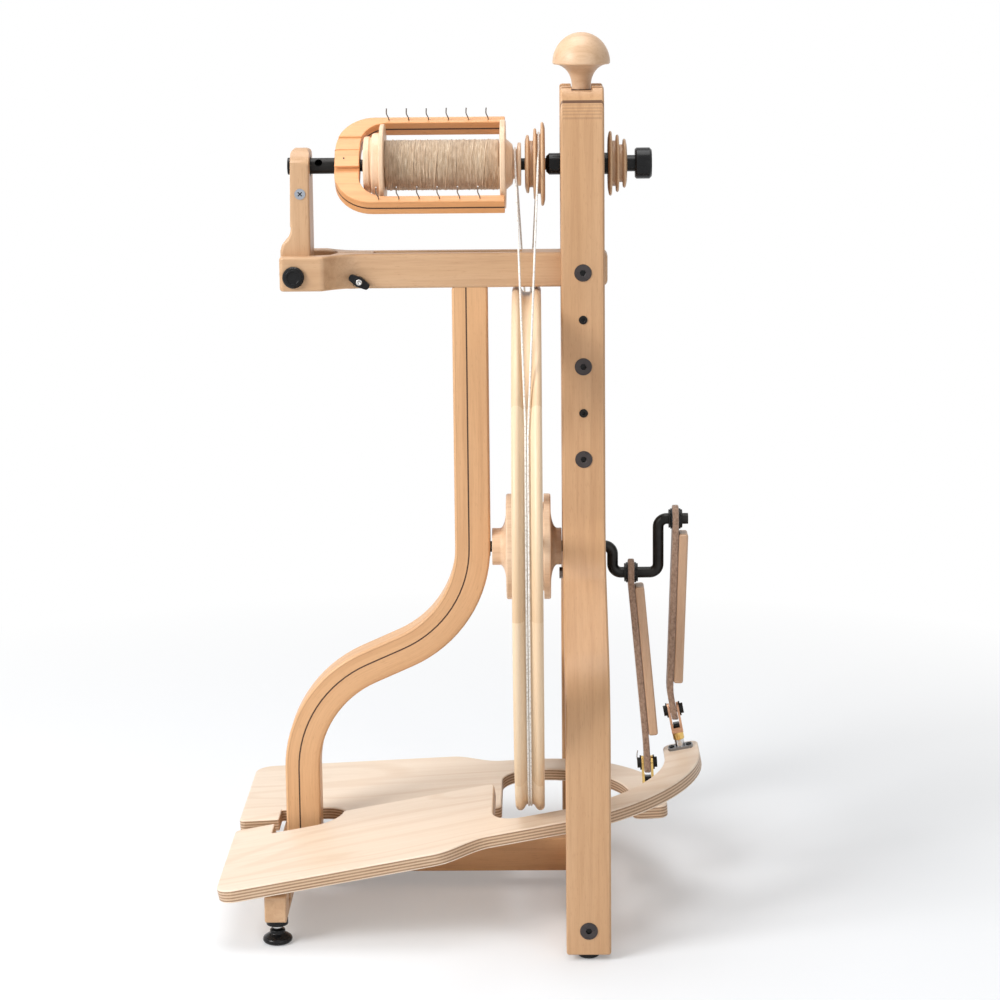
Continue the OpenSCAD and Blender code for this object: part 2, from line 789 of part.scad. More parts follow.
module tension_knob() {
  cap = knob_d / 2;
  rim_h = 25;
  stem = 9.2;
  cove_r = rim_h - 6;
  profile = concat(
    [[0, 0], [stem, 0]],
    arc([stem + cove_r, 4], cove_r, 180, 118, 10),
    [[cap - 1, rim_h], [cap, rim_h + 2]],
    [for (i = [1:10]) let (a = 90 * i / 10) [cap * cos(a), rim_h + 2 + (knob_h - rim_h - 2) * sin(a)]]
  );
  color("burlywood") placed() translate([post_x, 0, knob_base()]) rotate_extrude($fn = 96)
    polygon(profile);
}

peg_r = 7.6;
spare_r = 30;

module storage_peg() {
  x0 = post_x1 - 4;
  color("black") placed() translate([0, 0, flyer_z])
    turned([[x0, 0], [x0, 10], [x0 + 8, 10], [x0 + 8, peg_r], [x0 + 33, peg_r], [x0 + 33, 13],
      [x0 + 34.5, 14.4], [x0 + 46.5, 14.4], [x0 + 48.5, 12.4], [x0 + 48.5, 0]]);
}

// A whorl of three discs with a groove on each side of the middle one
module whorl(x0, radii, bottoms, pitch, rim, bore) {
  disc = 1.3;
  land = band_d / 2 + gap_c + 0.1;
  turns = [for (i = [0:2]) let (x = x0 + i * pitch + rim, low = x + pitch / 2) each [
    [x - disc, radii[i] - 1],
    [x, radii[i]],
    [x + disc, radii[i] - 1],
    if (i < 2) each [[low - land, bottoms[i]], [low + land, bottoms[i]]]
  ]];
  translate([0, 0, flyer_z]) difference() {
    turned(concat(
      [[x0, 0], [x0, radii[0] - 6]],
      turns,
      [[x0 + 2 * pitch + 2 * rim, radii[2] - 6], [x0 + 2 * pitch + 2 * rim, 0]]
    ));
    rod_x_dir(bore, x0 - eps, x0 + 2 * pitch + 2 * rim + eps);
  }
}

module spare_whorl() {
  color("burlywood") placed()
    whorl(post_x1 + 4.1, spare_r * [1, 0.89, 0.76], spare_r * [0.7, 0.58], 6.4, 2.3, 2 * (peg_r + fix_c));
}

// Flyer

module flyer_plane() {
  translate([0, 0, flyer_z]) rotate([-flyer_roll, 0, 0]) rotate([90, 0, 0]) children();
}

module flyer_outline() {
  o = flyer_w / 2;
  i = o - flyer_arm;
  ro = 36;
  ri = 24;
  xi = flyer_x0 + yoke_w;
  polygon(concat(
    [[flyer_x1, o]],
    arc([flyer_x0 + ro, o - ro], ro, 90, 180, 12),
    arc([flyer_x0 + ro, ro - o], ro, 180, 270, 12),
    [[flyer_x1, -o], [flyer_x1, -i]],
    arc([xi + ri, ri - i], ri, 270, 180, 12),
    arc([xi + ri, i - ri], ri, 180, 90, 12),
    [[flyer_x1, i]]
  ));
}

module flyer_layer(n0, n1) {
  difference() {
    flyer_plane() translate([0, 0, n0]) linear_extrude(n1 - n0) flyer_outline();
    translate([0, 0, flyer_z]) rod_x_dir(shaft_d + 2 * fix_c, flyer_x0 - eps, flyer_x0 + yoke_w + eps);
  }
}

module flyer_pad() {
  flyer_plane() translate([flyer_x0, -10, flyer_t / 2]) cube([yoke_w, 20, 2]);
}

module flyer_frame() {
  color("peru") placed() {
    flyer_layer(-flyer_t / 2, -stripe_t / 2);
    union() {
      flyer_layer(stripe_t / 2, flyer_t / 2);
      flyer_pad();
    }
  }
}

module flyer_stripe() {
  color("saddlebrown") placed() flyer_layer(-stripe_t / 2, stripe_t / 2);
}

module orifice_tube() {
  x0 = maiden_x1 - orifice_in;
  color("black") placed() translate([0, 0, flyer_z]) difference() {
    rod_x_dir(orifice_d, x0, flyer_x0);
    rod_x_dir(orifice_d - 5, x0 - eps, flyer_x0 - 9);
    translate([flyer_x0 - 15, 0, 0]) rotate([60, 0, 0]) cylinder(d = 7, h = orifice_d, $fn = 36);
  }
}

module flyer_shaft() {
  color("dimgray") placed() translate([0, 0, flyer_z]) rod_x_dir(shaft_d, flyer_x0, bearing_x + 8);
}

hook_pitch = 18.5;
hook_wire = 1.5;
hook_rise = 9;
hook_bend = 3;

module hook() {
  cylinder(d = hook_wire, h = hook_rise, $fn = 16);
  translate([0, 0, hook_rise]) translate([hook_bend, 0, 0]) rotate([90, 0, 0]) rotate([0, 0, 90])
    rotate_extrude(angle = 90, $fn = 32) translate([hook_bend, 0]) circle(d = hook_wire, $fn = 16);
}

module flyer_hooks() {
  e = (flyer_w - flyer_arm) / 2;
  color("silver") placed() flyer_plane() for (s = [-1, 1]) for (i = [0:5])
    translate([flyer_x1 - 19.5 + s * 3.5 - i * hook_pitch, s * e, flyer_t / 2]) rotate([0, 0, 90]) hook();
}

whorl_pitch = 6.8;
whorl_rim = 2.5;

module flyer_whorl() {
  color("burlywood") placed()
    whorl(flyer_groove_x - 1.5 * whorl_pitch - whorl_rim, flyer_groove / 2 * [0.989, 1.207, 1.415],
      flyer_groove / 2 * [0.782, 1], whorl_pitch, whorl_rim, shaft_d + 2 * fix_c);
}

// Bobbin and its yarn

bobbin_x0 = -149;
yarn_x0 = -129.7;
yarn_x1 = -23.4;
yarn_lift = 0.3;
barrel_r = yarn_d / 2 - yarn_strand - yarn_lift - 0.05;

module bobbin() {
  g = bobbin_groove / 2;
  gx = bobbin_groove_x;
  land = band_d / 2 + gap_c;
  f = bobbin_d / 2;
  front = [[bobbin_x0, 0], [bobbin_x0, 25.5], [bobbin_x0 + 1.5, 26.7], [bobbin_x0 + 5, 26.7],
    [bobbin_x0 + 6.5, 25], [bobbin_x0 + 8, 29], [bobbin_x0 + 10, 29.8], [yarn_x0 - 4.6, 29.8],
    [yarn_x0 - 4.4, 37], [yarn_x0 - 3.6, 38], [yarn_x0 - 0.8, 38], [yarn_x0, 37.2], [yarn_x0, barrel_r]];
  rear = [[yarn_x1, barrel_r], [yarn_x1, f - 0.8], [yarn_x1 + 0.8, f], [yarn_x1 + 4.6, f],
    [yarn_x1 + 5.4, f - 1], [yarn_x1 + 5.8, 23.3], [gx - 2.4, 18.5], [gx - land, g], [gx + land, g],
    [gx + 2.6, 20], [gx + 5, 20], [gx + 5.6, 19.4], [gx + 5.6, 0]];
  color("burlywood") placed() translate([0, 0, flyer_z]) difference() {
    turned(concat(front, rear));
    rod_x_dir(shaft_d + 2 * run_c, bobbin_x0 - eps, gx + 8);
  }
}

// Sweeps rings of sides points along a path, with square ends
function unit(v) = v / norm(v);
function ring(p, t, up, d, sides) =
  let (u = unit(cross(t, up)), v = cross(u, t))
  [for (k = [0:sides - 1]) let (a = 360 * k / sides) p + d / 2 * (cos(a) * u + sin(a) * v)];

module tube(path, ups, d, sides, closed) {
  n = len(path);
  tangent = [for (i = [0:n - 1]) unit(closed
    ? path[(i + 1) % n] - path[(i + n - 1) % n]
    : path[min(i + 1, n - 1)] - path[max(i - 1, 0)])];
  points = [for (i = [0:n - 1]) each ring(path[i], tangent[i], ups[i], d, sides)];
  steps = closed ? n - 1 : n - 2;
  walls = [for (i = [0:steps]) for (k = [0:sides - 1])
    let (a = i * sides + k, b = i * sides + (k + 1) % sides,
      c = ((i + 1) % n) * sides + k, e = ((i + 1) % n) * sides + (k + 1) % sides)
    each [[a, b, e], [a, e, c]]];
  first = [for (k = [1:sides - 2]) [0, k + 1, k]];
  last = [for (k = [1:sides - 2]) [(n - 1) * sides, (n - 1) * sides + k, (n - 1) * sides + k + 1]];
  polyhedron(points, closed ? walls : concat(walls, first, last), convexity = 10);
}

// The outer layer of yarn: one strand that winds along the barrel
yarn_r = barrel_r + yarn_lift + yarn_strand / 2;
yarn_rings = 24;
yarn_margin = yarn_strand * 0.6;
yarn_pitch = (yarn_x1 - yarn_x0 - 2 * yarn_margin) / (yarn_turns + 0.001);
function yarn_point(i) = let (a = 360 * i / yarn_rings)
  [yarn_x0 + yarn_margin + yarn_pitch * i / yarn_rings, -yarn_r * cos(a), yarn_r * sin(a)];
yarn_wind = [for (i = [0:yarn_turns * yarn_rings]) yarn_point(i)];
yarn_lead = yarn_wind[0] - yarn_strand * unit(yarn_wind[1] - yarn_wind[0]);
yarn_tail = yarn_wind[len(yarn_wind) - 1]
  + yarn_strand * unit(yarn_wind[len(yarn_wind) - 1] - yarn_wind[len(yarn_wind) - 2]);
yarn_path = concat([yarn_lead], yarn_wind, [yarn_tail]);
yarn_gap = min([for (i = [0:yarn_rings]) for (j = [0.75:0.05:1.25])
  norm(yarn_point(i + yarn_rings * j) - yarn_point(i))]) - yarn_strand;

module bobbin_yarn() {
  echo(least_yarn_gap = yarn_gap);
  color("tan") placed() translate([0, 0, flyer_z])
    tube(yarn_path, [for (p = yarn_path) [1, 0, 0]], yarn_strand, 6, false);
}

// Drive band: one cord that goes round the wheel twice, once over each whorl, and crosses itself
function tangent_angle(r_top) = asin((band_wheel_r - r_top) / (flyer_z - axle_z));
band_round_n = 22;
band_top_n = 6;
// How far each strand bows aside where the two cross
band_bow = 0.5;
// Points round a groove, far enough out for the straight steps between them to clear its bottom
function band_turn(x, z, r, a0, a1, n) =
  let (step = (a1 - a0) / n, out = r / cos(step / 2))
  [for (i = [0:n]) let (a = a0 + step * i) [x, out * cos(a), z + out * sin(a)]];
function band_over(r, x, a0, a1) = band_turn(x, flyer_z, r, a0, a1, band_top_n);
function band_under(x, a0, a1) = band_turn(x, axle_z, band_wheel_r, a0, a1, band_round_n);
function band_run(p, q, bow) =
  let (side = unit([0, q[2] - p[2], p[1] - q[1]]))
  [for (i = [1:5]) let (t = 1 - pow(1 - i / 6, 2)) p + (q - p) * t + bow * sin(180 * pow(t, 3)) * side];
b_bob = tangent_angle(band_bobbin_r);
b_fly = tangent_angle(band_flyer_r);
top_bob = band_over(band_bobbin_r, bobbin_groove_x, 180 - b_bob, b_bob);
top_fly = band_over(band_flyer_r, flyer_groove_x, 180 - b_fly, b_fly);
under_fly = band_under(band_lane, b_bob, -180 - b_fly);
under_bob = band_under(-band_lane, b_fly, -180 - b_bob);
far_a = band_run(top_bob[band_top_n], under_fly[0], band_bow);
far_b = band_run(top_fly[band_top_n], under_bob[0], -band_bow);
band_path = concat(
  top_bob, far_a, under_fly, band_run(under_fly[band_round_n], top_fly[0], 0),
  top_fly, far_b, under_bob, band_run(under_bob[band_round_n], top_bob[0], 0)
);
function fine(line) = [
  for (i = [0:len(line) - 2]) for (k = [0:11]) line[i] + (line[i + 1] - line[i]) * k / 12
];
cross_a = fine(concat([top_bob[band_top_n]], far_a, [under_fly[0]]));
cross_b = fine(concat([top_fly[band_top_n]], far_b, [under_bob[0]]));
band_gap = min([for (p = cross_a) for (q = cross_b) norm(p - q)]) - band_d;

module drive_band() {
  echo(least_band_gap = band_gap);
  color("white") placed() tube(band_path, [for (p = band_path) [1, 0, 0.001]], band_d, 8, true);
}

// Drive wheel

module rim_profile() {
  half = groove_w / 2;
  difference() {
    union() {
      translate([rim_in, -rim_w / 2]) square([rim_depth - bead_r, rim_w]);
      for (s = [-1, 1]) translate([rim_r - bead_r, s * (rim_w / 2 - bead_r)]) circle(r = bead_r, $fn = 32);
      translate([rim_r - bead_r - eps, -rim_w / 2 + bead_r])
        square([bead_r + eps - 0.2, rim_w - 2 * bead_r]);
    }
    for (s = [-1, 1]) translate([groove_r + lane_r, s * (half - lane_r)]) circle(r = lane_r, $fn = 32);
    translate([groove_r, -half + lane_r]) square([groove_depth + eps, groove_w - 2 * lane_r]);
    translate([groove_r + lane_r, -half]) square([groove_depth + eps, groove_w]);
  }
}

module wheel_rim() {
  color("wheat") placed() translate([0, 0, axle_z]) rotate([0, 90, 0])
    rotate_extrude($fn = 180) rim_profile();
}

module wheel_spokes() {
  r0 = hub_core_r + gap_c / 3;
  r1 = sqrt(rim_in * rim_in - 36) - gap_c / 3;
  mid = (r0 + r1) / 2;
  b = spoke_d / 2;
  profile = [[0, r0], [6, r0], [6, r0 + 8], [4.6, r0 + 12], [b, r0 + 34], [b - 1, r0 + 52], [4.4, mid + 20],
    [5, r1 - 34], [b - 1.5, r1 - 26], [5, r1 - 18], [6, r1 - 10], [6, r1], [0, r1]];
  color("burlywood") placed() translate([0, 0, axle_z]) for (i = [0:spoke_n - 1])
    rotate([360 * (i + 0.5) / spoke_n, 0, 0]) rotate_extrude($fn = 32) polygon(profile);
}

// One side of the hub: its flange, its hollow curve and its nose
function hub_side(end) =
  let (nose = nose_d / 2, f = hub_d / 2, x1 = flange_x + flange_t, hollow = 6, top = f - 13)
  concat(
    [[flange_x, f], [x1 - 1, f], [x1, f - 1], [x1, top]],
    [for (i = [1:10]) let (a = 90 * i / 10)
      [x1 + hollow * (1 - cos(a)), top - (top - nose) * sin(a)]],
    [[end, nose], [end, 0]]
  );

module wheel_hub() {
  rear = hub_side(hub_rear);
  front = hub_side(hub_front);
  color("burlywood") placed() translate([0, 0, axle_z]) difference() {
    turned(concat(
      [for (i = [len(front) - 1:-1:0]) [-front[i][0], front[i][1]]],
      [[-flange_x, hub_core_r], [flange_x, hub_core_r]],
      rear
    ));
    rod_x_dir(axle_d + 2 * fix_c, -hub_front - eps, hub_rear + eps);
  }
}

// Crank: one bent rod with a pin on each side of the axle
module crank_elbow(c, a) {
  translate([c[0], 0, c[1]]) rotate([90, 0, 0]) rotate([0, 0, a])
    rotate_extrude(angle = 90, $fn = 64) translate([crank_bend, 0]) circle(d = axle_d, $fn = 48);
}

module crank_axle() {
  b = crank_bend;
  front = -fpost_x - fpost_t / 2 + 4;
  color("black") placed() {
    translate([0, 0, axle_z]) rod_x_dir(axle_d, front, crank_x1 - b);
    crank_elbow([crank_x1 - b, axle_z - b], 0);
    translate([crank_x1, 0, pin_far_z + b]) cylinder(d = axle_d, h = crank_throw - 2 * b, $fn = 48);
    crank_elbow([crank_x1 + b, pin_far_z + b], 180);
    translate([0, 0, pin_far_z]) rod_x_dir(axle_d, crank_x1 + b, crank_x2 - b);
    crank_elbow([crank_x2 - b, pin_far_z + b], 270);
    translate([crank_x2, 0, pin_far_z + b]) cylinder(d = axle_d, h = 2 * crank_throw - 2 * b, $fn = 48);
    crank_elbow([crank_x2 + b, pin_near_z - b], 90);
    translate([0, 0, pin_near_z]) rod_x_dir(axle_d, crank_x2 + b, crank_end);
  }
}

// Half the length of a bush over its two flanges
function bush_half() = strap_t / 2 + gap_c + bush_flange;

module crank_clip(x, z) {
  translate([0, 0, z]) difference() {
    rod_x_dir(axle_d + 7, x, x + 1.2);
    rod_x_dir(axle_d + 2 * fix_c, x - eps, x + 2);
  }
}

module crank_clips() {
  off = bush_half() + gap_c;
  color("dimgray") placed() {
    crank_clip(near_pin_x - off - 1.2, pin_near_z);
    crank_clip(near_pin_x + off, pin_near_z);
    crank_clip(far_pin_x - off - 1.2, pin_far_z);
    crank_clip(far_pin_x + off, pin_far_z);
  }
}

module crank_bush(x, z) {
  body = axle_d + 2 * bush_wall;
  color("black") placed() translate([0, 0, z]) difference() {
    union() {
      rod_x_dir(body, x - bush_half(), x + bush_half());
      rod_x_dir(body + 5, x - bush_half(), x - bush_half() + bush_flange);
      rod_x_dir(body + 5, x + bush_half() - bush_flange, x + bush_half());
    }
    rod_x_dir(axle_d + 2 * run_c, x - bush_half() - eps, x + bush_half() + eps);
  }
}

module crank_bush_near() {
  crank_bush(near_pin_x, pin_near_z);
}

module crank_bush_far() {
  crank_bush(far_pin_x, pin_far_z);
}

// Treadles. A board is drawn flat: u runs from the rod to the rear, v from the middle outwards

board_inner = 4;
cut_corner = 29;
cut_u = far_reach - cut_corner;
cut_v = 19;
shoulder_l = 50;
shoulder_u = cut_u - shoulder_l - 3;

function board_points(reach) =
  let (
    outer = board_inner + board_w,
    ring_out = ring_in + ring_w,
    step_v = cut_v + ring_out,
    slot_v = fpost_w / 2 + 16,
    slot_r = slot_v - board_inner,
    slot_u0 = fpost_foot_x + rod_x - fpost_t / 2 - 8,
    slot_u1 = fpost_foot_x + rod_x + fpost_t / 2
  )
  concat(
    arc([6 - board_front, board_inner + 6], 6, 270, 180, 5),
    arc([18 - board_front, outer - 18], 18, 180, 90, 8),
    [for (i = [0:10]) let (t = i / 10)
      [shoulder_u + shoulder_l * t, (outer + step_v) / 2 + (outer - step_v) / 2 * cos(180 * t)]],
    arc([reach, cut_v], ring_out, 90, 0, 24),
    arc([reach + ring_out - 9, -8], 9, 0, -90, 6),
    arc([reach + ring_in + 9, -8], 9, 270, 180, 6),
    arc([reach, cut_v], ring_in, 0, 90, 24),
    arc([cut_u + cut_corner, cut_v + ring_in - cut_corner], cut_corner, 90, 180, 8),
    arc([cut_u - 6, board_inner + 6], 6, 0, -90, 5),
    arc([slot_u1, board_inner], slot_r, 0, 90, 12),
    [[slot_u0, slot_v], [slot_u0, board_inner]]
  );

// Tilts a drawing from the flat board about the rod: side -1 is the near treadle
module treadle_frame(side, slope) {
  translate([-rod_x, 0, rod_z]) rotate([0, -slope, 0]) mirror([0, side < 0 ? 1 : 0, 0]) children();
}

module treadle(side, slope, reach) {
  under = board_rise - board_t;
  end_u = reach + ring_in + ring_w / 2;
  color("wheat") placed() treadle_frame(side, slope) {
    difference() {
      translate([0, 0, under]) linear_extrude(board_t) polygon(board_points(reach));
      translate([end_u, 0, under - eps]) cylinder(d = 6 + 2 * fix_c, h = board_t + 2 * eps, $fn = 36);
    }
    for (v = block_vs) difference() {
      translate([0, v - block_w / 2, 0]) rotate([90, 0, 0]) translate([0, 0, -block_w])
        linear_extrude(block_w)
        polygon(concat([[12, under], [-10, under]], arc([0, 0], block_r, 180, 360, 12)));
      rod_y_dir(rod_d + 2 * run_c, v - block_w, v + block_w);
    }
  }
}

module treadle_near() {
  treadle(-1, near_slope, near_reach);
}

module treadle_far() {
  treadle(1, far_slope, far_reach);
}

// Clevis, its pin and its seat, at the end of a treadle and square to the board
module clevis_frame(side, slope, reach) {
  treadle_frame(side, slope) translate([reach + ring_in + ring_w / 2, 0, board_rise]) children();
}

module clevis(side, slope, reach) {
  w = fork_gap + 2 * cheek_t;
  base = clevis_h - cheek_down;
  color("goldenrod") placed() clevis_frame(side, slope, reach) difference() {
    union() {
      for (s = [-1, 1]) translate([s * (fork_gap + cheek_t) / 2 - cheek_t / 2, -cheek_w / 2, base])
        cube([cheek_t, cheek_w, cheek_down]);
      translate([0, 0, clevis_h]) rod_x_dir(cheek_w, -w / 2, w / 2);
      translate([-w / 2, -cheek_w / 2, base]) cube([w, cheek_w, 5]);
    }
    translate([-fork_gap / 2, -cheek_w, base + 5]) cube([fork_gap, 2 * cheek_w, cheek_down + cheek_w]);
    translate([0, 0, clevis_h]) rod_x_dir(pin_d + 2 * fix_c, -w, w);
    translate([0, 0, base - eps]) cylinder(d = 6 + 2 * fix_c, h = 4 + eps, $fn = 36);
  }
}

module clevis_near() {
  clevis(-1, near_slope, near_reach);
}

module clevis_far() {
  clevis(1, far_slope, far_reach);
}

module clevis_pin(side, slope, reach) {
  w = fork_gap + 2 * cheek_t;
  color("black") placed() clevis_frame(side, slope, reach) translate([0, 0, clevis_h]) {
    rod_x_dir(pin_d, -w / 2 - 4, w / 2 + 4);
    for (s = [0, 1]) mirror([s, 0, 0]) {
      rod_x_dir(14, w / 2, w / 2 + 1.4);
      rod_x_dir(10, w / 2 + 1.4, w / 2 + 4);
    }
  }
}

module clevis_pin_near() {
  clevis_pin(-1, near_slope, near_reach);
}

module clevis_pin_far() {
  clevis_pin(1, far_slope, far_reach);
}

// The dark plate on the board, the ferrule on it and the stud that joins them to the fork
module clevis_plate(side, slope, reach) {
  base = clevis_h - cheek_down;
  color("gray") placed() clevis_frame(side, slope, reach) {
    intersection() {
      cylinder(d = plate_l, h = plate_t, $fn = 48);
      translate([-plate_l / 2, -plate_w / 2, 0]) cube([plate_l, plate_w, plate_t]);
    }
    cylinder(d = ferrule_d, h = base, $fn = 36);
    cylinder(d = 6, h = base + 3, $fn = 36);
    translate([0, 0, -board_t - 3]) cylinder(d = 6, h = board_t + 3.1, $fn = 36);
    translate([0, 0, -board_t - 4]) cylinder(d = 11, h = 4, $fn = 6);
  }
}

module clevis_plate_near() {
  clevis_plate(-1, near_slope, near_reach);
}

module clevis_plate_far() {
  clevis_plate(1, far_slope, far_reach);
}

// Footmen: a leather strap from a crank pin to a clevis pin, with a wooden slat on its rear face

// A point of a treadle's end, from the flat board to the wheel's frame, as [x, z]
function end_point(slope, reach, h) =
  let (u = reach + ring_in + ring_w / 2, z = board_rise + h)
  [-rod_x + u * cos(slope) - z * sin(slope), rod_z + u * sin(slope) + z * cos(slope)];

// The strap's middle line: square to the crank pin at its eye, straight to a knee over the fork,
// then along the fork
knee_h = 20;
eye_h = 11;
function knee_point(slope, reach) = end_point(slope, reach, clevis_h + knee_h);
function strap_way(pin, slope, reach) = unit(knee_point(slope, reach) - pin + [0, eye_h]);
function strap_line(pin, slope, reach) =
  let (low = end_point(slope, reach, clevis_h), knee = knee_point(slope, reach),
    along = strap_way(pin, slope, reach), fork = unit(low - knee), soft = 8)
  concat(
    [pin + [0, strap_w * 0.65], pin - [0, eye_h - 1], pin - [0, eye_h] + along, knee - along * soft],
    [for (i = [1:5]) let (t = i / 6)
      (1 - t) * (1 - t) * (knee - along * soft) + 2 * t * (1 - t) * knee + t * t * (knee + fork * soft)],
    [knee + fork * soft, low + fork * strap_tail]
  );

function side_of(line, i) =
  let (t = unit(line[min(i + 1, len(line) - 1)] - line[max(i - 1, 0)])) [-t[1], t[0]];

module strap_solid(line) {
  n = len(line);
  upright(strap_w) polygon(concat(
    [for (i = [0:n - 1]) line[i] + side_of(line, i) * strap_t / 2],
    [for (i = [n - 1:-1:0]) line[i] - side_of(line, i) * strap_t / 2]
  ));
}

module footman_strap(pin, slope, reach) {
  line = strap_line(pin, slope, reach);
  low = end_point(slope, reach, clevis_h);
  color("sienna") placed() difference() {
    intersection() {
      strap_solid(line);
      translate([pin[0], 0, 0]) rotate([0, 0, 90]) upright(4 * strap_w) polygon(concat(
        arc([0, pin[1] + 2], strap_w / 2, 0, 180, 16),
        arc([0, low[1] + 1], strap_w / 2, 180, 360, 16)
      ));
    }
    translate([0, 0, pin[1]]) rod_x_dir(axle_d + 2 * bush_wall + 2 * fix_c, pin[0] - 20, pin[0] + 20);
    translate([low[0], 0, low[1]]) rotate([0, -slope, 0]) rod_x_dir(pin_d + 2 * run_c, -20, 20);
  }
}

module footman_strap_near() {
  footman_strap([near_pin_x, pin_near_z], near_slope, near_reach);
}

module footman_strap_far() {
  footman_strap([far_pin_x, pin_far_z], far_slope, far_reach);
}

module footman_slat(pin, slope, reach) {
  knee = knee_point(slope, reach);
  along = strap_way(pin, slope, reach);
  out = [-along[1], along[0]];
  top = pin - [0, eye_h] + along * 2;
  low = knee - along * 9;
  near_face = strap_t / 2 + fix_c;
  color("burlywood") placed() upright(strap_w) polygon([
    top + out * near_face, low + out * near_face,
    low + out * (near_face + slat_t), top + out * (near_face + slat_t)
  ]);
}

module footman_slat_near() {
  footman_slat([near_pin_x, pin_near_z], near_slope, near_reach);
}

module footman_slat_far() {
  footman_slat([far_pin_x, pin_far_z], far_slope, far_reach);
}

rear_post_near();
rear_post_far();
post_spine();
post_top_rail();
rear_foot_rail();
base_beam();
front_foot_bar();
front_post();
front_post_stripe();
mother_of_all();
tilt_bolt();
axle_bushes();
spine_bolt();
connector_bolts();
post_screws();
rear_glides();
foot_collars();
treadle_rod();
drive_band();
clamp_wing();
leveling_foot_near();
leveling_foot_far();
front_maiden();
orifice_bearing();
maiden_screw();
bearing_block();
storage_peg();
spare_whorl();
flyer_rear_bearing();
tension_knob();
tension_screw();
flyer_frame();
flyer_stripe();
orifice_tube();
flyer_shaft();
flyer_hooks();
flyer_whorl();
bobbin();
bobbin_yarn();
wheel_rim();
wheel_spokes();
wheel_hub();
crank_axle();
crank_clips();
crank_bush_near();
crank_bush_far();
footman_strap_near();
footman_strap_far();
footman_slat_near();
footman_slat_far();
treadle_near();
treadle_far();
clevis_near();
clevis_far();
clevis_pin_near();
clevis_pin_far();
clevis_plate_near();
clevis_plate_far();
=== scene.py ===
"""Looks of a double treadle spinning wheel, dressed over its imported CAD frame.

Wooden nodes and most fittings are shown by copies with rounded edges. The knob and the rim
are turned anew, and the hooks, the yarn and the cord are drawn as wires and strands. The
other nodes are painted as they are. Metres, +Z up, in the frame's own axes.
"""

import json
import logging
import math
import random
from contextlib import contextmanager
from dataclasses import dataclass, field
from enum import Enum
from typing import Callable, Hashable, Iterable, Iterator, Sequence, TypeVar

import bmesh
import bpy
from mathutils import Matrix, Vector

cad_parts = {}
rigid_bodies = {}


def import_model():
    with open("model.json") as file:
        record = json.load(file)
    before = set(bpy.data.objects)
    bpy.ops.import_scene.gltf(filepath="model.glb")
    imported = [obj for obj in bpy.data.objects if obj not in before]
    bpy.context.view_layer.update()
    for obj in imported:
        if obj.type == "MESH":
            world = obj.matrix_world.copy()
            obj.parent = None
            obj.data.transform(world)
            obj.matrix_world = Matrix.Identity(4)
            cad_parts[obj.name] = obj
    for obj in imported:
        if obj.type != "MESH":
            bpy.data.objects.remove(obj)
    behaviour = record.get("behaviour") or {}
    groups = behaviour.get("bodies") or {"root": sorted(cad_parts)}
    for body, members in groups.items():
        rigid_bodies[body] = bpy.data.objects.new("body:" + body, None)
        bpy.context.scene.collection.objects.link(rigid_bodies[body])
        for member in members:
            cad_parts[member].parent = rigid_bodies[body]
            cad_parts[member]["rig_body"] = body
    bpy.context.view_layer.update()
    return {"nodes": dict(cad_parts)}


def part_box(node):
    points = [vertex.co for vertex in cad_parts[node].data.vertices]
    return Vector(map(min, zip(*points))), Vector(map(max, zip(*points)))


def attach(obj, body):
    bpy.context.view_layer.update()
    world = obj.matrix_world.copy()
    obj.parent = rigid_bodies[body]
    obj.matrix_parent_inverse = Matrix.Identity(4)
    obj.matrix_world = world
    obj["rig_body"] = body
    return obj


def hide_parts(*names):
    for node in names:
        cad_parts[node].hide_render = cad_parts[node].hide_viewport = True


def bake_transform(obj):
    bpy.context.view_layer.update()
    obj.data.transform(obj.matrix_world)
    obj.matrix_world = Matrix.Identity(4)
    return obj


LOG = logging.getLogger("spinning_wheel")
GRAIN = "grain"
EDGE = "edge"
TONE = "tone"
MM = 0.001
SOFT_TURN = math.radians(32)
ROUND_TURN = math.radians(40)

Pair = tuple[float, float]
Triple = tuple[float, float, float]
Colour = Triple
Ways = tuple[Vector, Vector, Vector]
Mapper = Callable[[Vector], Triple]
Share = Callable[[Vector], float]
Socket = bpy.types.NodeSocket
Piece = bpy.types.Object
FaceTest = Callable[[bpy.types.MeshPolygon], bool]
Item = TypeVar("Item", bound=Hashable)

# The range in which most values of a noise lie.
MID: Pair = (0.3, 0.7)

# Moves of the grain pattern, so that no two pieces show the same wood.
SHIFTS = {
    "post_spine": 0.4, "post_top_rail": 2.1, "rear_post_far": 3.1, "rear_foot_rail": 3.8,
    "front_post": 5.3, "base_beam": 5.5, "front_foot_bar": 7.2, "mother_of_all": 9.1,
    "front_maiden": 11.3, "bearing_block": 13.9, "flyer_frame": 17.7, "flyer_stripe": 18.1,
    "tension_knob": 21.3, "flyer_whorl": 23.0, "spare_whorl": 24.0, "bobbin": 25.0,
    "wheel_spokes": 33.0, "wheel_hub": 35.0, "footman_slat_near": 41.0, "footman_slat_far": 42.0,
}
# How much of its move each part of a straight piece's grain coordinates gets.
SHIFT_SHARES: Triple = (1.0, 0.37, 0.61)


class Slot(Enum):
    """Material slots of the record."""

    MAPLE = "maple_satin"
    PALE = "maple_pale"
    PLYWOOD = "plywood"
    WALNUT = "walnut_stripe"
    BLACK = "black_hardware"
    BRIGHT = "steel_bright"
    BLACKENED = "blackened_steel"
    BRASS = "brass_clevis"
    LEATHER = "strap_leather"
    YARN = "wound_yarn"
    CORD = "band_cord"


class Along(Enum):
    """The axis that a straight piece's grain runs along."""

    X = 0
    Y = 1
    Z = 2


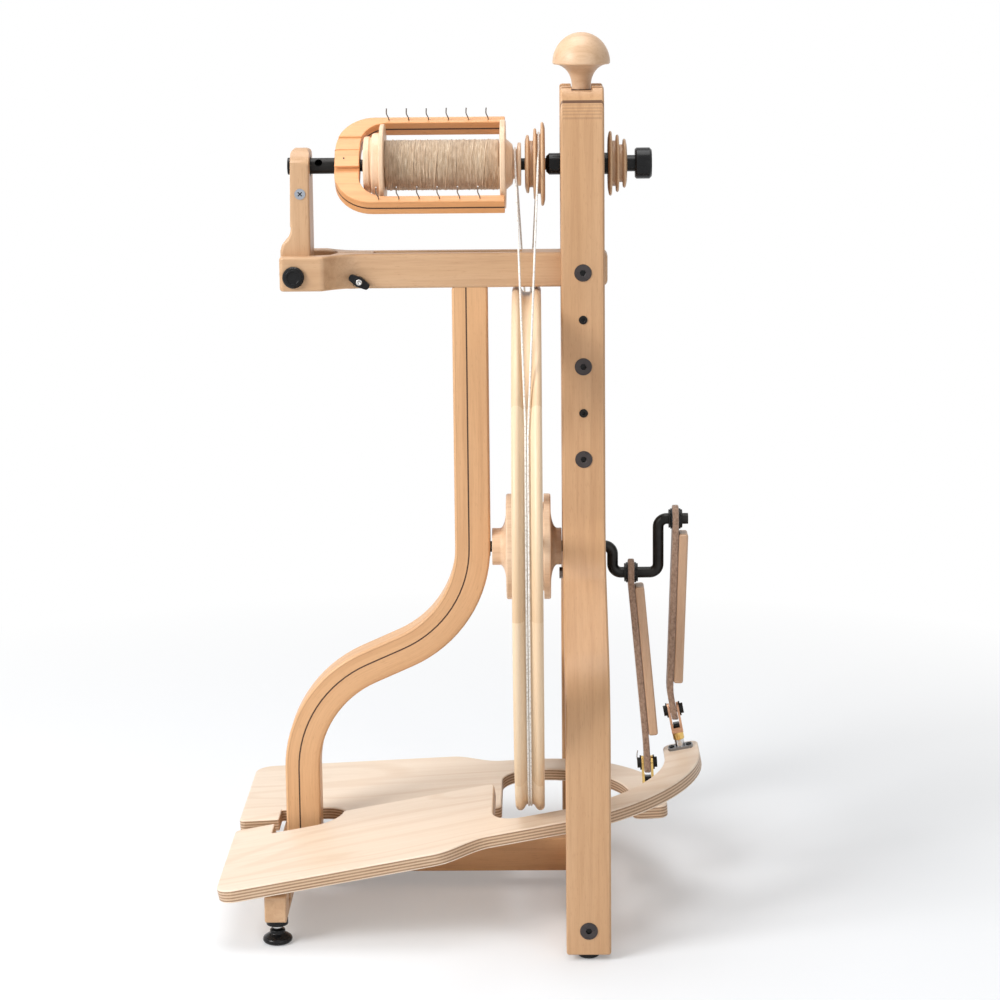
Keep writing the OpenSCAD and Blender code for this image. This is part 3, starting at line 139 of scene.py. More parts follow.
class Graph:
    """The node tree of a material or a world, with short steps for building it."""

    def __init__(self, owner: bpy.types.Material | bpy.types.World) -> None:
        """Opens the tree.

        Args:
            owner: The material or world.
        """
        owner.use_nodes = True
        self.owner = owner
        self.tree = owner.node_tree

    def feed(self, node: bpy.types.Node, inputs: dict[int | str, object]) -> None:
        """Links inputs of a node to other nodes or sets their constants.

        Args:
            node: The node.
            inputs: An output socket, a number, a colour or a vector for each input.
        """
        for key, value in inputs.items():
            socket = node.inputs[key]
            if isinstance(value, bpy.types.NodeSocket):
                self.tree.links.new(value, socket)
            elif isinstance(value, tuple) and socket.type == "RGBA":
                socket.default_value = (*value, 1.0)
            else:
                socket.default_value = value

    def node(self, kind: str, inputs: dict[int | str, object], **settings: object) -> bpy.types.Node:
        """Adds a node.

        Args:
            kind: Blender's name of the node type, without its start.
            inputs: What its inputs get.
            settings: Properties to set on it.

        Returns:
            The new node.
        """
        made = self.tree.nodes.new(f"ShaderNode{kind}")
        for key, value in settings.items():
            setattr(made, key, value)
        self.feed(made, inputs)
        return made

    def place(self) -> Socket:
        """Returns the object coordinates."""
        return self.node("TexCoord", {}).outputs["Object"]

    def stored(self, name: str, output: str = "Fac") -> Socket:
        """Returns a mesh attribute, as a number or by its Vector output."""
        return self.node("Attribute", {}, attribute_name=name).outputs[output]

    def noise(self, vector: Socket, scale: float | Triple, detail: float = 2.0,
              stir: float = 0.0) -> Socket:
        """Adds a noise texture.

        Args:
            vector: Coordinates.
            scale: Scale of the noise, or a factor for each part of the coordinates.
            detail: Octaves.
            stir: How far it is distorted.

        Returns:
            The grey value.
        """
        if isinstance(scale, tuple):
            vector = self.node("VectorMath", {0: vector, 1: scale}, operation="MULTIPLY").outputs[0]
            scale = 1.0
        inputs = {"Vector": vector, "Scale": scale, "Detail": detail, "Distortion": stir}
        return self.node("TexNoise", inputs).outputs["Fac"]

    def span(self, value: Socket, source: Pair, target: Pair = (0.0, 1.0)) -> Socket:
        """Maps a source range onto a target range and clamps it."""
        keys = ("Value", "From Min", "From Max", "To Min", "To Max")
        return self.node("MapRange", dict(zip(keys, (value, *source, *target)))).outputs["Result"]

    def maths(self, operation: str, *values: object) -> Socket:
        """Returns the result of an operation on values."""
        return self.node("Math", dict(enumerate(values)), operation=operation).outputs[0]

    def part(self, vector: Socket, index: int) -> Socket:
        """Returns one of the three parts of a vector."""
        return self.node("SeparateXYZ", {0: vector}).outputs[index]

    def mix(self, factor: object, a: object, b: object) -> Socket:
        """Returns a mix of two colours, by the share of the second."""
        return self.node("Mix", {0: factor, 6: a, 7: b}, data_type="RGBA").outputs[2]

    def bump(self, height: Socket, distance: float, strength: float) -> Socket:
        """Returns the normal of a height, at a share of a depth in metres."""
        return self.node("Bump", {"Height": height, "Distance": distance, "Strength": strength}).outputs[0]

    def seen(self) -> Socket:
        """Tells rays that show a surface or the backdrop from those that carry light.

        Returns:
            1 for a ray from the camera, a glossy one or one through something clear, else 0.
        """
        path = self.node("LightPath", {}).outputs
        shown = self.maths("MAXIMUM", path["Is Camera Ray"], path["Is Glossy Ray"])
        return self.maths("MAXIMUM", shown, path["Is Transmission Ray"])

    def close(self, inputs: dict[int | str, object]) -> bpy.types.Material:
        """Feeds the shader and returns the finished material."""
        self.feed(self.tree.nodes["Principled BSDF"], inputs)
        return self.owner


@dataclass(frozen=True)
class Figure:
    """One layer of a wood's figure: noise drawn out along the fibres, and how much of it shows."""

    stretch: Triple
    detail: float
    stir: float
    shown: Pair
    share: float

    def value(self, g: Graph, grain: Socket) -> Socket:
        """Returns the layer's noise at the grain coordinates."""
        return g.noise(grain, self.stretch, self.detail, self.stir)


@dataclass(frozen=True)
class Wood:
    """Satin wood whose fibres run along the first part of the grain attribute.

    lines are dark layers: a place across the third part, half a thickness and a depth of colour.
    """

    name: str
    pale: Colour
    tone: Colour
    fibre: Colour
    slot: Slot = Slot.MAPLE
    contrast: float = 1.0
    deepen: float = 0.0
    roughness: float = 0.40
    lines: tuple[Triple, ...] = ()
    line: Colour = (0.09, 0.035, 0.016)
    patch: Figure = Figure((1.6, 26.0, 26.0), 2.0, 0.4, MID, 1.0)
    streak: Figure = Figure((5.0, 150.0, 150.0), 3.0, 0.6, (0.45, 0.75), 0.42)
    hair: Figure = Figure((38.0, 1300.0, 1300.0), 2.0, 0.0, (0.48, 0.8), 0.30)
    fleck: Figure = Figure((130.0, 1000.0, 1000.0), 1.0, 0.0, (0.63, 0.72), 0.32)
    # Edge wear and painted highlight on the rounded edges: scale of the noise, the range of it that shows,
    # and the share of the pale colour.
    wear_and_highlight_scale: float = 60.0
    wear_and_highlight_shown: Pair = (0.35, 0.7)
    wear_and_highlight_share: Pair = (0.05, 0.28)
    smear_scale: float = 9.0
    smear_detail: float = 3.0
    smear: Pair = (-0.05, 0.05)
    rough_range: float = 0.1
    relief: Pair = (0.2 * MM, 0.22)
    coat_weight: float = 0.10
    coat_roughness: float = 0.32

    def tint(self, g: Graph, grain: Socket) -> tuple[Socket, Socket]:
        """Builds the colour of the wood.

        Args:
            g: The material's graph.
            grain: The grain coordinates.

        Returns:
            The colour and the fine fibre value.
        """
        patch = self.patch.value(g, grain)
        hair = self.hair.value(g, grain)
        colour = g.mix(g.span(patch, self.patch.shown), self.pale, self.tone)
        values = (self.streak.value(g, grain), hair, self.fleck.value(g, grain))
        for figure, value in zip((self.streak, self.hair, self.fleck), values):
            share = g.span(value, figure.shown, (0.0, figure.share * self.contrast))
            colour = g.mix(share, colour, self.fibre)
        for place, half, depth in self.lines:
            layer = g.maths("COMPARE", g.part(grain, 2), place, half)
            colour = g.mix(g.maths("MULTIPLY", layer, depth), colour, self.line)
        if self.deepen:
            share = g.span(patch, self.patch.shown, (self.deepen / 2, self.deepen))
            colour = g.mix(g.maths("MULTIPLY", g.stored(TONE), share), colour, self.fibre)
        return colour, hair

    def material(self) -> bpy.types.Material:
        """Builds the finish.

        Returns:
            The material.
        """
        g = Graph(bpy.data.materials.new(self.name))
        colour, hair = self.tint(g, g.stored(GRAIN, "Vector"))
        # Edge wear and painted highlight: the rounded edges are mixed towards the pale colour, as worn wood
        # and as edges that catch the light.
        wear_and_highlight = g.span(g.noise(g.place(), self.wear_and_highlight_scale), self.wear_and_highlight_shown, self.wear_and_highlight_share)
        colour = g.mix(g.maths("MULTIPLY", g.stored(EDGE), wear_and_highlight), colour, self.pale)
        smear = g.span(g.noise(g.place(), self.smear_scale, self.smear_detail), MID, self.smear)
        fibres = g.span(hair, MID, (self.roughness, self.roughness + self.rough_range))
        return g.close({
            "Base Color": colour, "Roughness": g.maths("ADD", fibres, smear),
            "Normal": g.bump(hair, *self.relief), "Coat Weight": self.coat_weight,
            "Coat Roughness": self.coat_roughness})


@dataclass(frozen=True)
class Plywood(Wood):
    """Plywood: the third part of the grain attribute runs from the board's bottom to its top."""

    slot: Slot = Slot.PLYWOOD
    ply: float = 1.392 * MM
    count: int = 9
    end_grain: Colour = (0.27, 0.145, 0.07)
    side_grain: Colour = (0.58, 0.385, 0.23)
    tone_deep: Colour = (0.66, 0.47, 0.315)
    flame: Figure = Figure((2.2, 9.0, 9.0), 1.5, 0.6, (0.2, 1.0), 0.34)
    flame_count: float = 62.0
    side_share: float = 0.75
    end_share: Pair = (0.65, 0.95)

    def tint(self, g: Graph, grain: Socket) -> tuple[Socket, Socket]:
        """Adds the flames of the face and the darker plies that show at a board's edge.

        Args:
            g: The material's graph.
            grain: The grain coordinates.

        Returns:
            The colour and the fine fibre value.
        """
        colour, hair = super().tint(g, grain)
        swirl = g.maths("SINE", g.maths("MULTIPLY", self.flame.value(g, grain), self.flame_count))
        colour = g.mix(g.span(swirl, self.flame.shown, (0.0, self.flame.share)), colour, self.tone_deep)
        layer = g.maths("FLOOR", g.maths("DIVIDE", g.part(grain, 2), self.ply))
        inner = g.maths("COMPARE", layer, (self.count - 1) / 2, self.count / 2 - 1)
        colour = g.mix(g.maths("MULTIPLY", inner, self.side_share), colour, self.side_grain)
        odd = g.maths("MULTIPLY", g.maths("MODULO", layer, 2.0), g.span(hair, MID, self.end_share))
        return g.mix(odd, colour, self.end_grain), hair


@dataclass(frozen=True)
class Hard:
    """Metal or moulded plastic with fine handling marks."""

    name: str
    slot: Slot
    colour: Colour
    mark: Colour
    metallic: float
    roughness: float
    spread: float = 0.10
    specular: float = 0.5
    scale: float = 90.0
    detail: float = 4.0
    mark_shown: Pair = (0.42, 0.72)
    mark_share: float = 0.6
    fine_scale: float = 810.0
    relief: Pair = (0.1 * MM, 0.06)

    def material(self) -> bpy.types.Material:
        """Builds the finish.

        Returns:
            The material.
        """
        g = Graph(bpy.data.materials.new(self.name))
        cloud = g.noise(g.place(), self.scale, self.detail)
        colour = g.mix(g.span(cloud, self.mark_shown, (0.0, self.mark_share)), self.colour, self.mark)
        rough = g.span(cloud, MID, (self.roughness - self.spread, self.roughness + self.spread))
        normal = g.bump(g.noise(g.place(), self.fine_scale), *self.relief)
        return g.close({"Base Color": colour, "Roughness": rough, "Normal": normal,
                        "Metallic": self.metallic, "Specular IOR Level": self.specular})


@dataclass(frozen=True)
class Soft:
    """Leather, wool or cotton: a fuzzy finish with a deep bump."""

    name: str
    slot: Slot
    colour: Colour
    deep: Colour
    light: Colour
    scale: Triple
    sheen: float = 0.3
    relief: Pair = (0.6 * MM, 0.6)
    roughness: float = 0.85
    rough_range: float = 0.08
    sheen_roughness: float = 0.5
    detail: float = 3.0
    stir: float = 0.5
    fine_scale: float = 1500.0
    deep_shown: Pair = (0.35, 0.5)
    light_shown: Pair = (0.52, 0.7)
    light_share: float = 0.8
    fine_shown: Pair = (0.5, 0.75)
    fine_share: float = 0.35
    broad_height: float = 0.5

    def material(self) -> bpy.types.Material:
        """Builds the finish.

        Returns:
            The material.
        """
        g = Graph(bpy.data.materials.new(self.name))
        broad = g.noise(g.place(), self.scale, self.detail, self.stir)
        fine = g.noise(g.place(), self.fine_scale, self.detail)
        colour = g.mix(g.span(broad, self.deep_shown, (1.0, 0.0)), self.colour, self.deep)
        colour = g.mix(g.span(broad, self.light_shown, (0.0, self.light_share)), colour, self.light)
        colour = g.mix(g.span(fine, self.fine_shown, (0.0, self.fine_share)), colour, self.deep)
        rough = g.span(broad, MID, (self.roughness - self.rough_range, self.roughness + self.rough_range))
        height = g.maths("ADD", fine, g.maths("MULTIPLY", broad, self.broad_height))
        return g.close({
            "Base Color": colour, "Roughness": rough, "Normal": g.bump(height, *self.relief),
            "Sheen Weight": self.sheen, "Sheen Roughness": self.sheen_roughness})


Finish = Wood | Hard | Soft


@dataclass
class Palette:
    """The finishes of the object, each made once."""

    maple: Wood = Wood("maple", (0.615, 0.395, 0.23), (0.54, 0.322, 0.17), (0.375, 0.19, 0.085))
    # Painted shade: a warmer, more saturated maple for the base beam and the rear foot rail, standing in
    # for the warm bounced light in their shade.
    shaded_maple: Wood = Wood("maple_warm", (0.72, 0.40, 0.19), (0.63, 0.325, 0.14), (0.42, 0.185, 0.07))
    post: Wood = Wood("maple_bent", (0.63, 0.38, 0.205), (0.55, 0.31, 0.15), (0.39, 0.19, 0.08), lines=(
        (-9.4 * MM, 0.5 * MM, 0.9), (0.0, 0.5 * MM, 0.9), (-10.4 * MM, 0.14 * MM, 0.22),
        (-11.2 * MM, 0.14 * MM, 0.22), (-11.8 * MM, 0.12 * MM, 0.22), (-12.3 * MM, 0.10 * MM, 0.22),
        (-12.7 * MM, 0.08 * MM, 0.22)))
    front: Wood = Wood("maple_front_post", (0.735, 0.44, 0.23), (0.65, 0.37, 0.18), (0.45, 0.22, 0.095),
                       lines=((-14.0 * MM, 0.35 * MM, 0.22),))
    flyer: Wood = Wood("maple_flyer", (0.81, 0.41, 0.175), (0.73, 0.345, 0.135), (0.50, 0.21, 0.075),
                       lines=((0.0, 1.05 * MM, 0.95),))
    rim: Wood = Wood("maple_rim", (0.83, 0.645, 0.445), (0.765, 0.56, 0.37), (0.60, 0.375, 0.185),
                     Slot.PALE, contrast=0.75, deepen=0.62)
    turned: Wood = Wood("maple_turned", (0.75, 0.52, 0.335), (0.67, 0.44, 0.27), (0.47, 0.26, 0.125),
                        Slot.PALE)
    bobbin: Wood = Wood("maple_bobbin", (0.85, 0.63, 0.44), (0.77, 0.54, 0.355), (0.55, 0.33, 0.18))
    slat: Wood = Wood("maple_slat", (0.64, 0.42, 0.27), (0.56, 0.35, 0.215), (0.39, 0.215, 0.11))
    plywood: Plywood = Plywood("birch_plywood", (0.85, 0.715, 0.58), (0.80, 0.65, 0.505),
                               (0.62, 0.45, 0.30), contrast=0.45)
    walnut: Wood = Wood("walnut", (0.075, 0.032, 0.014), (0.055, 0.022, 0.010), (0.03, 0.012, 0.006),
                        Slot.WALNUT, roughness=0.6)
    black: Hard = Hard("black_moulding", Slot.BLACK, (0.006, 0.006, 0.0065), (0.012, 0.012, 0.013),
                       0.0, 0.24, specular=0.22)
    blackened: Hard = Hard("blackened_steel", Slot.BLACKENED, (0.020, 0.019, 0.018), (0.038, 0.036, 0.034),
                           0.8, 0.36, specular=0.25)
    browned: Hard = Hard("browned_steel", Slot.BLACKENED, (0.050, 0.042, 0.042), (0.075, 0.063, 0.062),
                         0.35, 0.30, specular=0.3)
    dull: Hard = Hard("dull_steel", Slot.BRIGHT, (0.26, 0.26, 0.265), (0.16, 0.16, 0.165), 1.0, 0.34)
    bright: Hard = Hard("bright_steel", Slot.BRIGHT, (0.60, 0.59, 0.58), (0.46, 0.45, 0.44), 1.0, 0.22,
                        spread=0.08)
    zinc: Hard = Hard("zinc_plate", Slot.BRIGHT, (0.42, 0.45, 0.50), (0.33, 0.36, 0.41), 1.0, 0.26)
    brass: Hard = Hard("satin_brass", Slot.BRASS, (0.74, 0.50, 0.17), (0.56, 0.34, 0.11), 1.0, 0.30)
    copper: Hard = Hard("copper_tinted_brass", Slot.BRASS, (0.62, 0.36, 0.23), (0.46, 0.25, 0.15),
                        1.0, 0.36)
    leather: Soft = Soft("strap_leather", Slot.LEATHER, (0.35, 0.22, 0.15), (0.23, 0.135, 0.087),
                         (0.47, 0.315, 0.225), (520.0, 520.0, 420.0), sheen=0.5)
    yarn: Soft = Soft("wound_wool", Slot.YARN, (0.55, 0.40, 0.265), (0.42, 0.285, 0.175),
                      (0.74, 0.60, 0.44), (900.0, 110.0, 110.0), sheen=0.4)
    cord: Soft = Soft("cotton_cord", Slot.CORD, (0.86, 0.82, 0.76), (0.66, 0.61, 0.54), (0.94, 0.92, 0.88),
                      (500.0, 500.0, 500.0), relief=(0.4 * MM, 0.6))
    made: dict[str, bpy.types.Material] = field(default_factory=dict)

    def get(self, finish: Finish) -> bpy.types.Material:
        """Returns the material of a finish, which is made once."""
        if finish.name not in self.made:
            self.made[finish.name] = finish.material()
        return self.made[finish.name]


def straight(axis: Along, shift: float) -> Mapper:
    """Grain of a straight piece.

    Args:
        axis: The axis it runs along.
        shift: Moves the pattern so that pieces differ.

    Returns:
        A mapper from a point to grain coordinates.
    """
    parts = [(axis.value + i) % 3 for i in range(3)]
    return lambda p: tuple(p[part] + shift * share for part, share in zip(parts, SHIFT_SHARES))


def spread_out(centre: Vector, shift: float, spokes: int = 8) -> Mapper:
    """Grain that runs out from the x axis, as in spokes.

    Args:
        centre: A point on the axis.
        shift: Moves the pattern.
        spokes: Number of spokes.

    Returns:
        A mapper from a point to grain coordinates.
    """
    apart, width, tiny = 0.7, 0.12, 1e-6

    def locate(p: Vector) -> Triple:
        """Finds a point's place out from, along and round the axis.

        Args:
            p: The point.

        Returns:
            Its grain coordinates.
        """
        y, z = p.y - centre.y, p.z - centre.z
        turn = math.atan2(z, y)
        spoke = math.floor((turn / math.tau + 0.5) * spokes + tiny)
        return math.hypot(y, z) + spoke * apart, p.x + shift, turn * width

    return locate


def arc(centre: Pair, radii: Pair, turn: Pair, steps: int) -> list[Pair]:
    """Lists points along a part of an ellipse.

    Args:
        centre: Its centre.
        radii: Its half widths.
        turn: The angles at which the part starts and ends.
        steps: Steps between the points.

    Returns:
        The points.
    """
    start, end = turn
    angles = [start + (end - start) * i / steps for i in range(steps + 1)]
    return [(centre[0] + radii[0] * math.cos(a), centre[1] + radii[1] * math.sin(a)) for a in angles]


def groups(items: Iterable[Item], near: Callable[[Item], Iterable[Item]]) -> list[list[Item]]:
    """Sorts items into connected groups.

    Args:
        items: The items.
        near: Gives an item's neighbours.

    Returns:
        The groups.
    """
    left, found = set(items), []
    while left:
        group, front = [], [left.pop()]
        while front:
            item = front.pop()
            group.append(item)
            fresh = [other for other in near(item) if other in left]
            left.difference_update(fresh)
            front.extend(fresh)
        found.append(group)
    return found


def full(p: Vector) -> float:
    """Returns the whole of a rounding for any edge."""
    return 1.0


def middle(node: str) -> Vector:
    """Returns the middle of a CAD node's box."""
    low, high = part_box(node)
    return (low + high) / 2


@contextmanager
def editing() -> Iterator[None]:
    """Opens the active piece in edit mode, all selected, and closes it with its normals outward.

    Yields:
        Nothing, while it is open.
    """
    bpy.ops.object.mode_set(mode="EDIT")
    bpy.ops.mesh.select_all(action="SELECT")
    yield
    bpy.ops.mesh.select_all(action="SELECT")
    bpy.ops.mesh.normals_make_consistent(inside=False)
    bpy.ops.object.mode_set(mode="OBJECT")


@dataclass(frozen=True)
class BentStrip:
    """A strip that runs down, swings over towards lower values and runs down again."""

    start: float
    bend_z: float
    radius: float
    angle: float
    shift: float

    @property
    def slant(self) -> float:
        """Length of the slanted run between the two bends."""
        return (self.shift - 2 * self.radius * (1 - math.cos(self.angle))) / math.sin(self.angle)

    def locate(self, side: float, z: float) -> Pair:
        """Finds a point along and across the strip.

        Args:
            side: The point's place sideways.
            z: Its height.

        Returns:
            Distance along the strip from its first bend, and offset from its middle line.
        """
        r, a, run = self.radius, self.angle, self.slant
        cos, sin = math.cos(a), math.sin(a)
        x1, z1 = self.start - r, self.bend_z
        x2, z2 = x1 + 2 * r * cos - run * sin, z1 - 2 * r * sin - run * cos
        if z >= z1:
            return z1 - z, side - self.start
        if z <= z2:
            return 2 * r * a + run + z2 - z, side - (x2 - r)
        dx, dz = side - (x1 + r * cos), z - (z1 - r * sin)
        t = -dx * sin - dz * cos
        if t < 0:
            dx, dz = side - x1, z - z1
            return r * -math.atan2(dz, dx), math.hypot(dx, dz) - r
        if t > run:
            dx, dz = side - x2, z - z2
            return r * a + run + r * (math.atan2(dz, dx) - math.pi + a), r - math.hypot(dx, dz)
        return r * a + t, dx * cos - dz * sin


@dataclass(frozen=True)
class Head:
    """A round head; its socket is a share of its radius."""

    radius: float
    height: float
    socket: float = 0.0
    sides: int = 32


@dataclass
class Bench:
    """Modelling steps on copies of the CAD nodes and on new pieces."""

    nodes: dict[str, Piece]
    palette: Palette
    bore_limit: float = 30 * MM
    sharp: float = math.radians(35)
    weld: float = 0.01 * MM
    sliver: float = 0.15 * MM
    level: float = math.radians(0.4)
    cord_turn: float = math.radians(70)
    corner_turn: float = math.radians(45)
    steps: int = 3
    fitting_steps: int = 2
    face_weight: int = 50
    many_corners: int = 5
    facing: float = 0.9
    socket_depth: float = 0.6
    head_rounding: float = 0.28

    def only(self, obj: Piece) -> None:
        """Makes one object the selected and active one.

        Args:
            obj: The object.
        """
        bpy.ops.object.select_all(action="DESELECT")
        obj.select_set(True)
        bpy.context.view_layer.objects.active = obj

    def apply(self, obj: Piece, name: str, kind: str, **settings: object) -> None:
        """Adds a modifier and applies it.

        Args:
            obj: The object.
            name: The modifier's name.
            kind: Its type.
            settings: Its properties.
        """
        self.only(obj)
        made = obj.modifiers.new(name, kind)
        for key, value in settings.items():
            setattr(made, key, value)
        bpy.ops.object.modifier_apply(modifier=made.name)

    def named(self, name: str) -> Piece:
        """Names the piece just added and puts its place into its mesh.

        Args:
            name: Its name.

        Returns:
            The piece.
        """
        obj = bpy.context.active_object
        obj.name = name
        bpy.ops.object.transform_apply(location=True, rotation=True, scale=True)
        return obj

    def copy(self, node: str) -> Piece:
        """Copies a CAD node's mesh and joins its split faces.

        Args:
            node: Name of the node.

        Returns:
            The copy.
        """
        mesh = self.nodes[node].data.copy()
        obj = bpy.data.objects.new(f"{node}_shown", mesh)
        bpy.context.scene.collection.objects.link(obj)
        self.only(obj)
        if mesh.has_custom_normals:
            bpy.ops.mesh.customdata_custom_splitnormals_clear()
        with editing():
            bpy.ops.mesh.remove_doubles(threshold=self.weld)
            bpy.ops.mesh.dissolve_degenerate(threshold=self.sliver)
            bpy.ops.mesh.dissolve_limited(angle_limit=self.level)
        return obj

    def islands(self, mesh: bpy.types.Mesh) -> list[list[int]]:
        """Finds the separate shells of a mesh.

        Args:
            mesh: The mesh.

        Returns:
            The vertices of each shell.
        """
        links: list[list[int]] = [[] for _ in mesh.vertices]
        for edge in mesh.edges:
            a, b = edge.vertices
            links[a].append(b)
            links[b].append(a)
        return groups(range(len(links)), lambda vert: links[vert])

    def weigh(self, obj: Piece, keep: Share) -> None:
        """Marks the edges to soften: sharp ones that aren't the rim of a small bore.

        Args:
            obj: The object.
            keep: Gives the share of the rounding for an edge's middle.
        """
        work = bmesh.new()
        work.from_mesh(obj.data)
        layer = work.edges.layers.float.new("bevel_weight_edge")
        sharp = [e for e in work.edges if e.is_manifold and e.calc_face_angle(0.0) > self.sharp]
        for group in groups(sharp, lambda e: (near for vert in e.verts for near in vert.link_edges)):
            points = [v.co for e in group for v in e.verts]
            spans = [max(p[i] for p in points) - min(p[i] for p in points) for i in range(3)]
            if math.hypot(*spans) > self.bore_limit:
                for edge in group:
                    edge[layer] = keep((edge.verts[0].co + edge.verts[1].co) / 2)
        work.to_mesh(obj.data)
        work.free()

    def soften(self, obj: Piece, width: float, keep: Share = full) -> None:
        """Rounds a piece's edges and smooths it.

        Args:
            obj: The object.
            width: Width of the rounding.
            keep: Gives the share of the rounding for an edge's middle.
        """
        obj.data.materials.clear()
        for name in ("face", "rounding"):
            obj.data.materials.append(bpy.data.materials.get(name) or bpy.data.materials.new(name))
        for polygon in obj.data.polygons:
            polygon.material_index = 0
        self.weigh(obj, keep)
        self.apply(obj, "rounding", "BEVEL", width=width, segments=self.steps, limit_method="WEIGHT",
                   material=1, use_clamp_overlap=False, miter_outer="MITER_ARC", loop_slide=True)
        layer = obj.data.attributes.new(EDGE, "FLOAT", "FACE")
        for polygon in obj.data.polygons:
            layer.data[polygon.index].value = float(polygon.material_index)
            polygon.material_index = 0
        obj.data.materials.clear()
        self.smooth(obj)
        self.split(obj)
        self.even(obj)

    def bevel(self, obj: Piece, width: float, steps: int, angle: float) -> None:
        """Rounds every edge that is sharper than an angle, in a few steps."""
        self.apply(obj, "rounding", "BEVEL", width=width, segments=steps, limit_method="ANGLE",
                   angle_limit=angle, use_clamp_overlap=True)

    def even(self, obj: Piece) -> None:
        """Lets the large faces of a piece set its shading."""
        self.apply(obj, "flat_faces", "WEIGHTED_NORMAL", keep_sharp=True, weight=self.face_weight)

    def split(self, obj: Piece) -> None:
        """Divides faces of many corners, so that the grain runs true across them."""
        self.apply(obj, "even_faces", "TRIANGULATE", min_vertices=self.many_corners, ngon_method="BEAUTY")

    def smooth(self, obj: Piece, angle: float = SOFT_TURN) -> None:
        """Shades a piece smooth where its faces meet at less than an angle."""
        self.only(obj)
        bpy.ops.object.shade_smooth_by_angle(angle=angle)

    def lay(self, obj: Piece, mapper: Mapper) -> None:
        """Stores each vertex's grain coordinates, which the mapper gives."""
        layer = obj.data.attributes.new(GRAIN, "FLOAT_VECTOR", "POINT")
        for vert in obj.data.vertices:
            layer.data[vert.index].vector = mapper(vert.co)

    def paint(self, obj: Piece, finish: Finish) -> None:
        """Gives a piece its only material."""
        obj.data.materials.clear()
        obj.data.materials.append(self.palette.get(finish))

    def touch_up(self, obj: Piece, finish: Finish, test: FaceTest) -> None:
        """Gives the faces of a painted piece that pass a test a second finish."""
        obj.data.materials.append(self.palette.get(finish))
        for polygon in obj.data.polygons:
            polygon.material_index = int(test(polygon))

    def stand_for(self, obj: Piece, node: str, finish: Finish) -> None:
        """Shows a piece in place of a CAD node and lets it move with that node's body.

        Args:
            obj: The piece.
            node: The node.
            finish: Its finish.
        """
        self.paint(obj, finish)
        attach(obj, self.nodes[node]["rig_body"])
        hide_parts(node)
        LOG.info("%s shows %s", obj.name, node)

    def wooden(self, node: str, finish: Wood, grain: Along | Mapper, width: float,
               keep: Share = full) -> None:
        """Makes the shown copy of a wooden node.

        Args:
            node: Name of the node.
            finish: Its finish.
            grain: The axis of its grain, or a mapper from a point to grain coordinates.
            width: Width of the rounding of its edges, or 0.
            keep: Gives the share of the rounding for an edge's middle.
        """
        obj = self.copy(node)
        if width:
            self.soften(obj, width, keep)
        else:
            self.smooth(obj)
            self.split(obj)
        self.lay(obj, straight(grain, SHIFTS[node]) if isinstance(grain, Along) else grain)
        self.stand_for(obj, node, finish)

    def tube(self, name: str, points: Sequence[Vector], width: float, closed: bool = False, sides: int = 2,
             swell: Sequence[float] | None = None) -> Piece:
        """Draws a round cord or wire through points.

        Args:
            name: Name of the piece.
            points: Its middle line.
            width: Its diameter.
            closed: Whether it joins its own start.
            sides: Steps between the quarters of its section.
            swell: A factor on the diameter at each point.

        Returns:
            The mesh object.
        """
        bpy.ops.curve.primitive_nurbs_path_add(location=(0, 0, 0))
        obj = bpy.context.active_object
        obj.name = name
        curve = obj.data
        curve.splines.clear()
        line = curve.splines.new("POLY")
        line.points.add(len(points) - 1)
        for i, point in enumerate(points):
            line.points[i].co = (*point, 1.0)
            line.points[i].radius = swell[i] if swell else 1.0
        line.use_cyclic_u = closed
        curve.dimensions = "3D"
        curve.bevel_depth = width / 2
        curve.bevel_resolution = sides
        curve.use_fill_caps = not closed
        bpy.ops.object.convert(target="MESH")
        obj = bpy.context.active_object
        with editing():
            pass
        self.smooth(obj, self.cord_turn)
        return obj

    def pick(self, obj: Piece, test: FaceTest) -> None:
        """Opens a piece in edit mode with only some of its faces selected.

        Args:
            obj: The piece.
            test: Says of a face whether it is selected.
        """
        self.only(obj)
        bpy.ops.object.mode_set(mode="EDIT")
        bpy.ops.mesh.select_mode(type="FACE")
        bpy.ops.mesh.select_all(action="DESELECT")
        bpy.ops.object.mode_set(mode="OBJECT")
        for polygon in obj.data.polygons:
            polygon.select = test(polygon)
        bpy.ops.object.mode_set(mode="EDIT")

    def button(self, name: str, spot: Vector, way: Vector, head: Head) -> Piece:
        """Makes a round head, with a socket in its face if it has one.

        Args:
            name: Name of the piece.
            spot: Middle of its seat.
            way: The unit direction in which it stands up.
            head: Its sizes.

        Returns:
            The head.
        """
        bpy.ops.mesh.primitive_cylinder_add(
            vertices=head.sides, radius=head.radius, depth=head.height,
            location=spot + way * (head.height / 2), rotation=way.to_track_quat("Z", "Y").to_euler())
        obj = self.named(name)
        if head.socket:
            self.pick(obj, lambda face: face.normal.dot(way) > self.facing)
            bpy.ops.mesh.inset(thickness=head.radius * (1 - head.socket))
            sink = way * (-self.socket_depth * head.height)
            bpy.ops.mesh.extrude_region_move(TRANSFORM_OT_translate={"value": sink})
            bpy.ops.object.mode_set(mode="OBJECT")
        self.bevel(obj, min(head.radius, head.height) * self.head_rounding, self.steps, ROUND_TURN)
        self.smooth(obj, ROUND_TURN)
        return obj

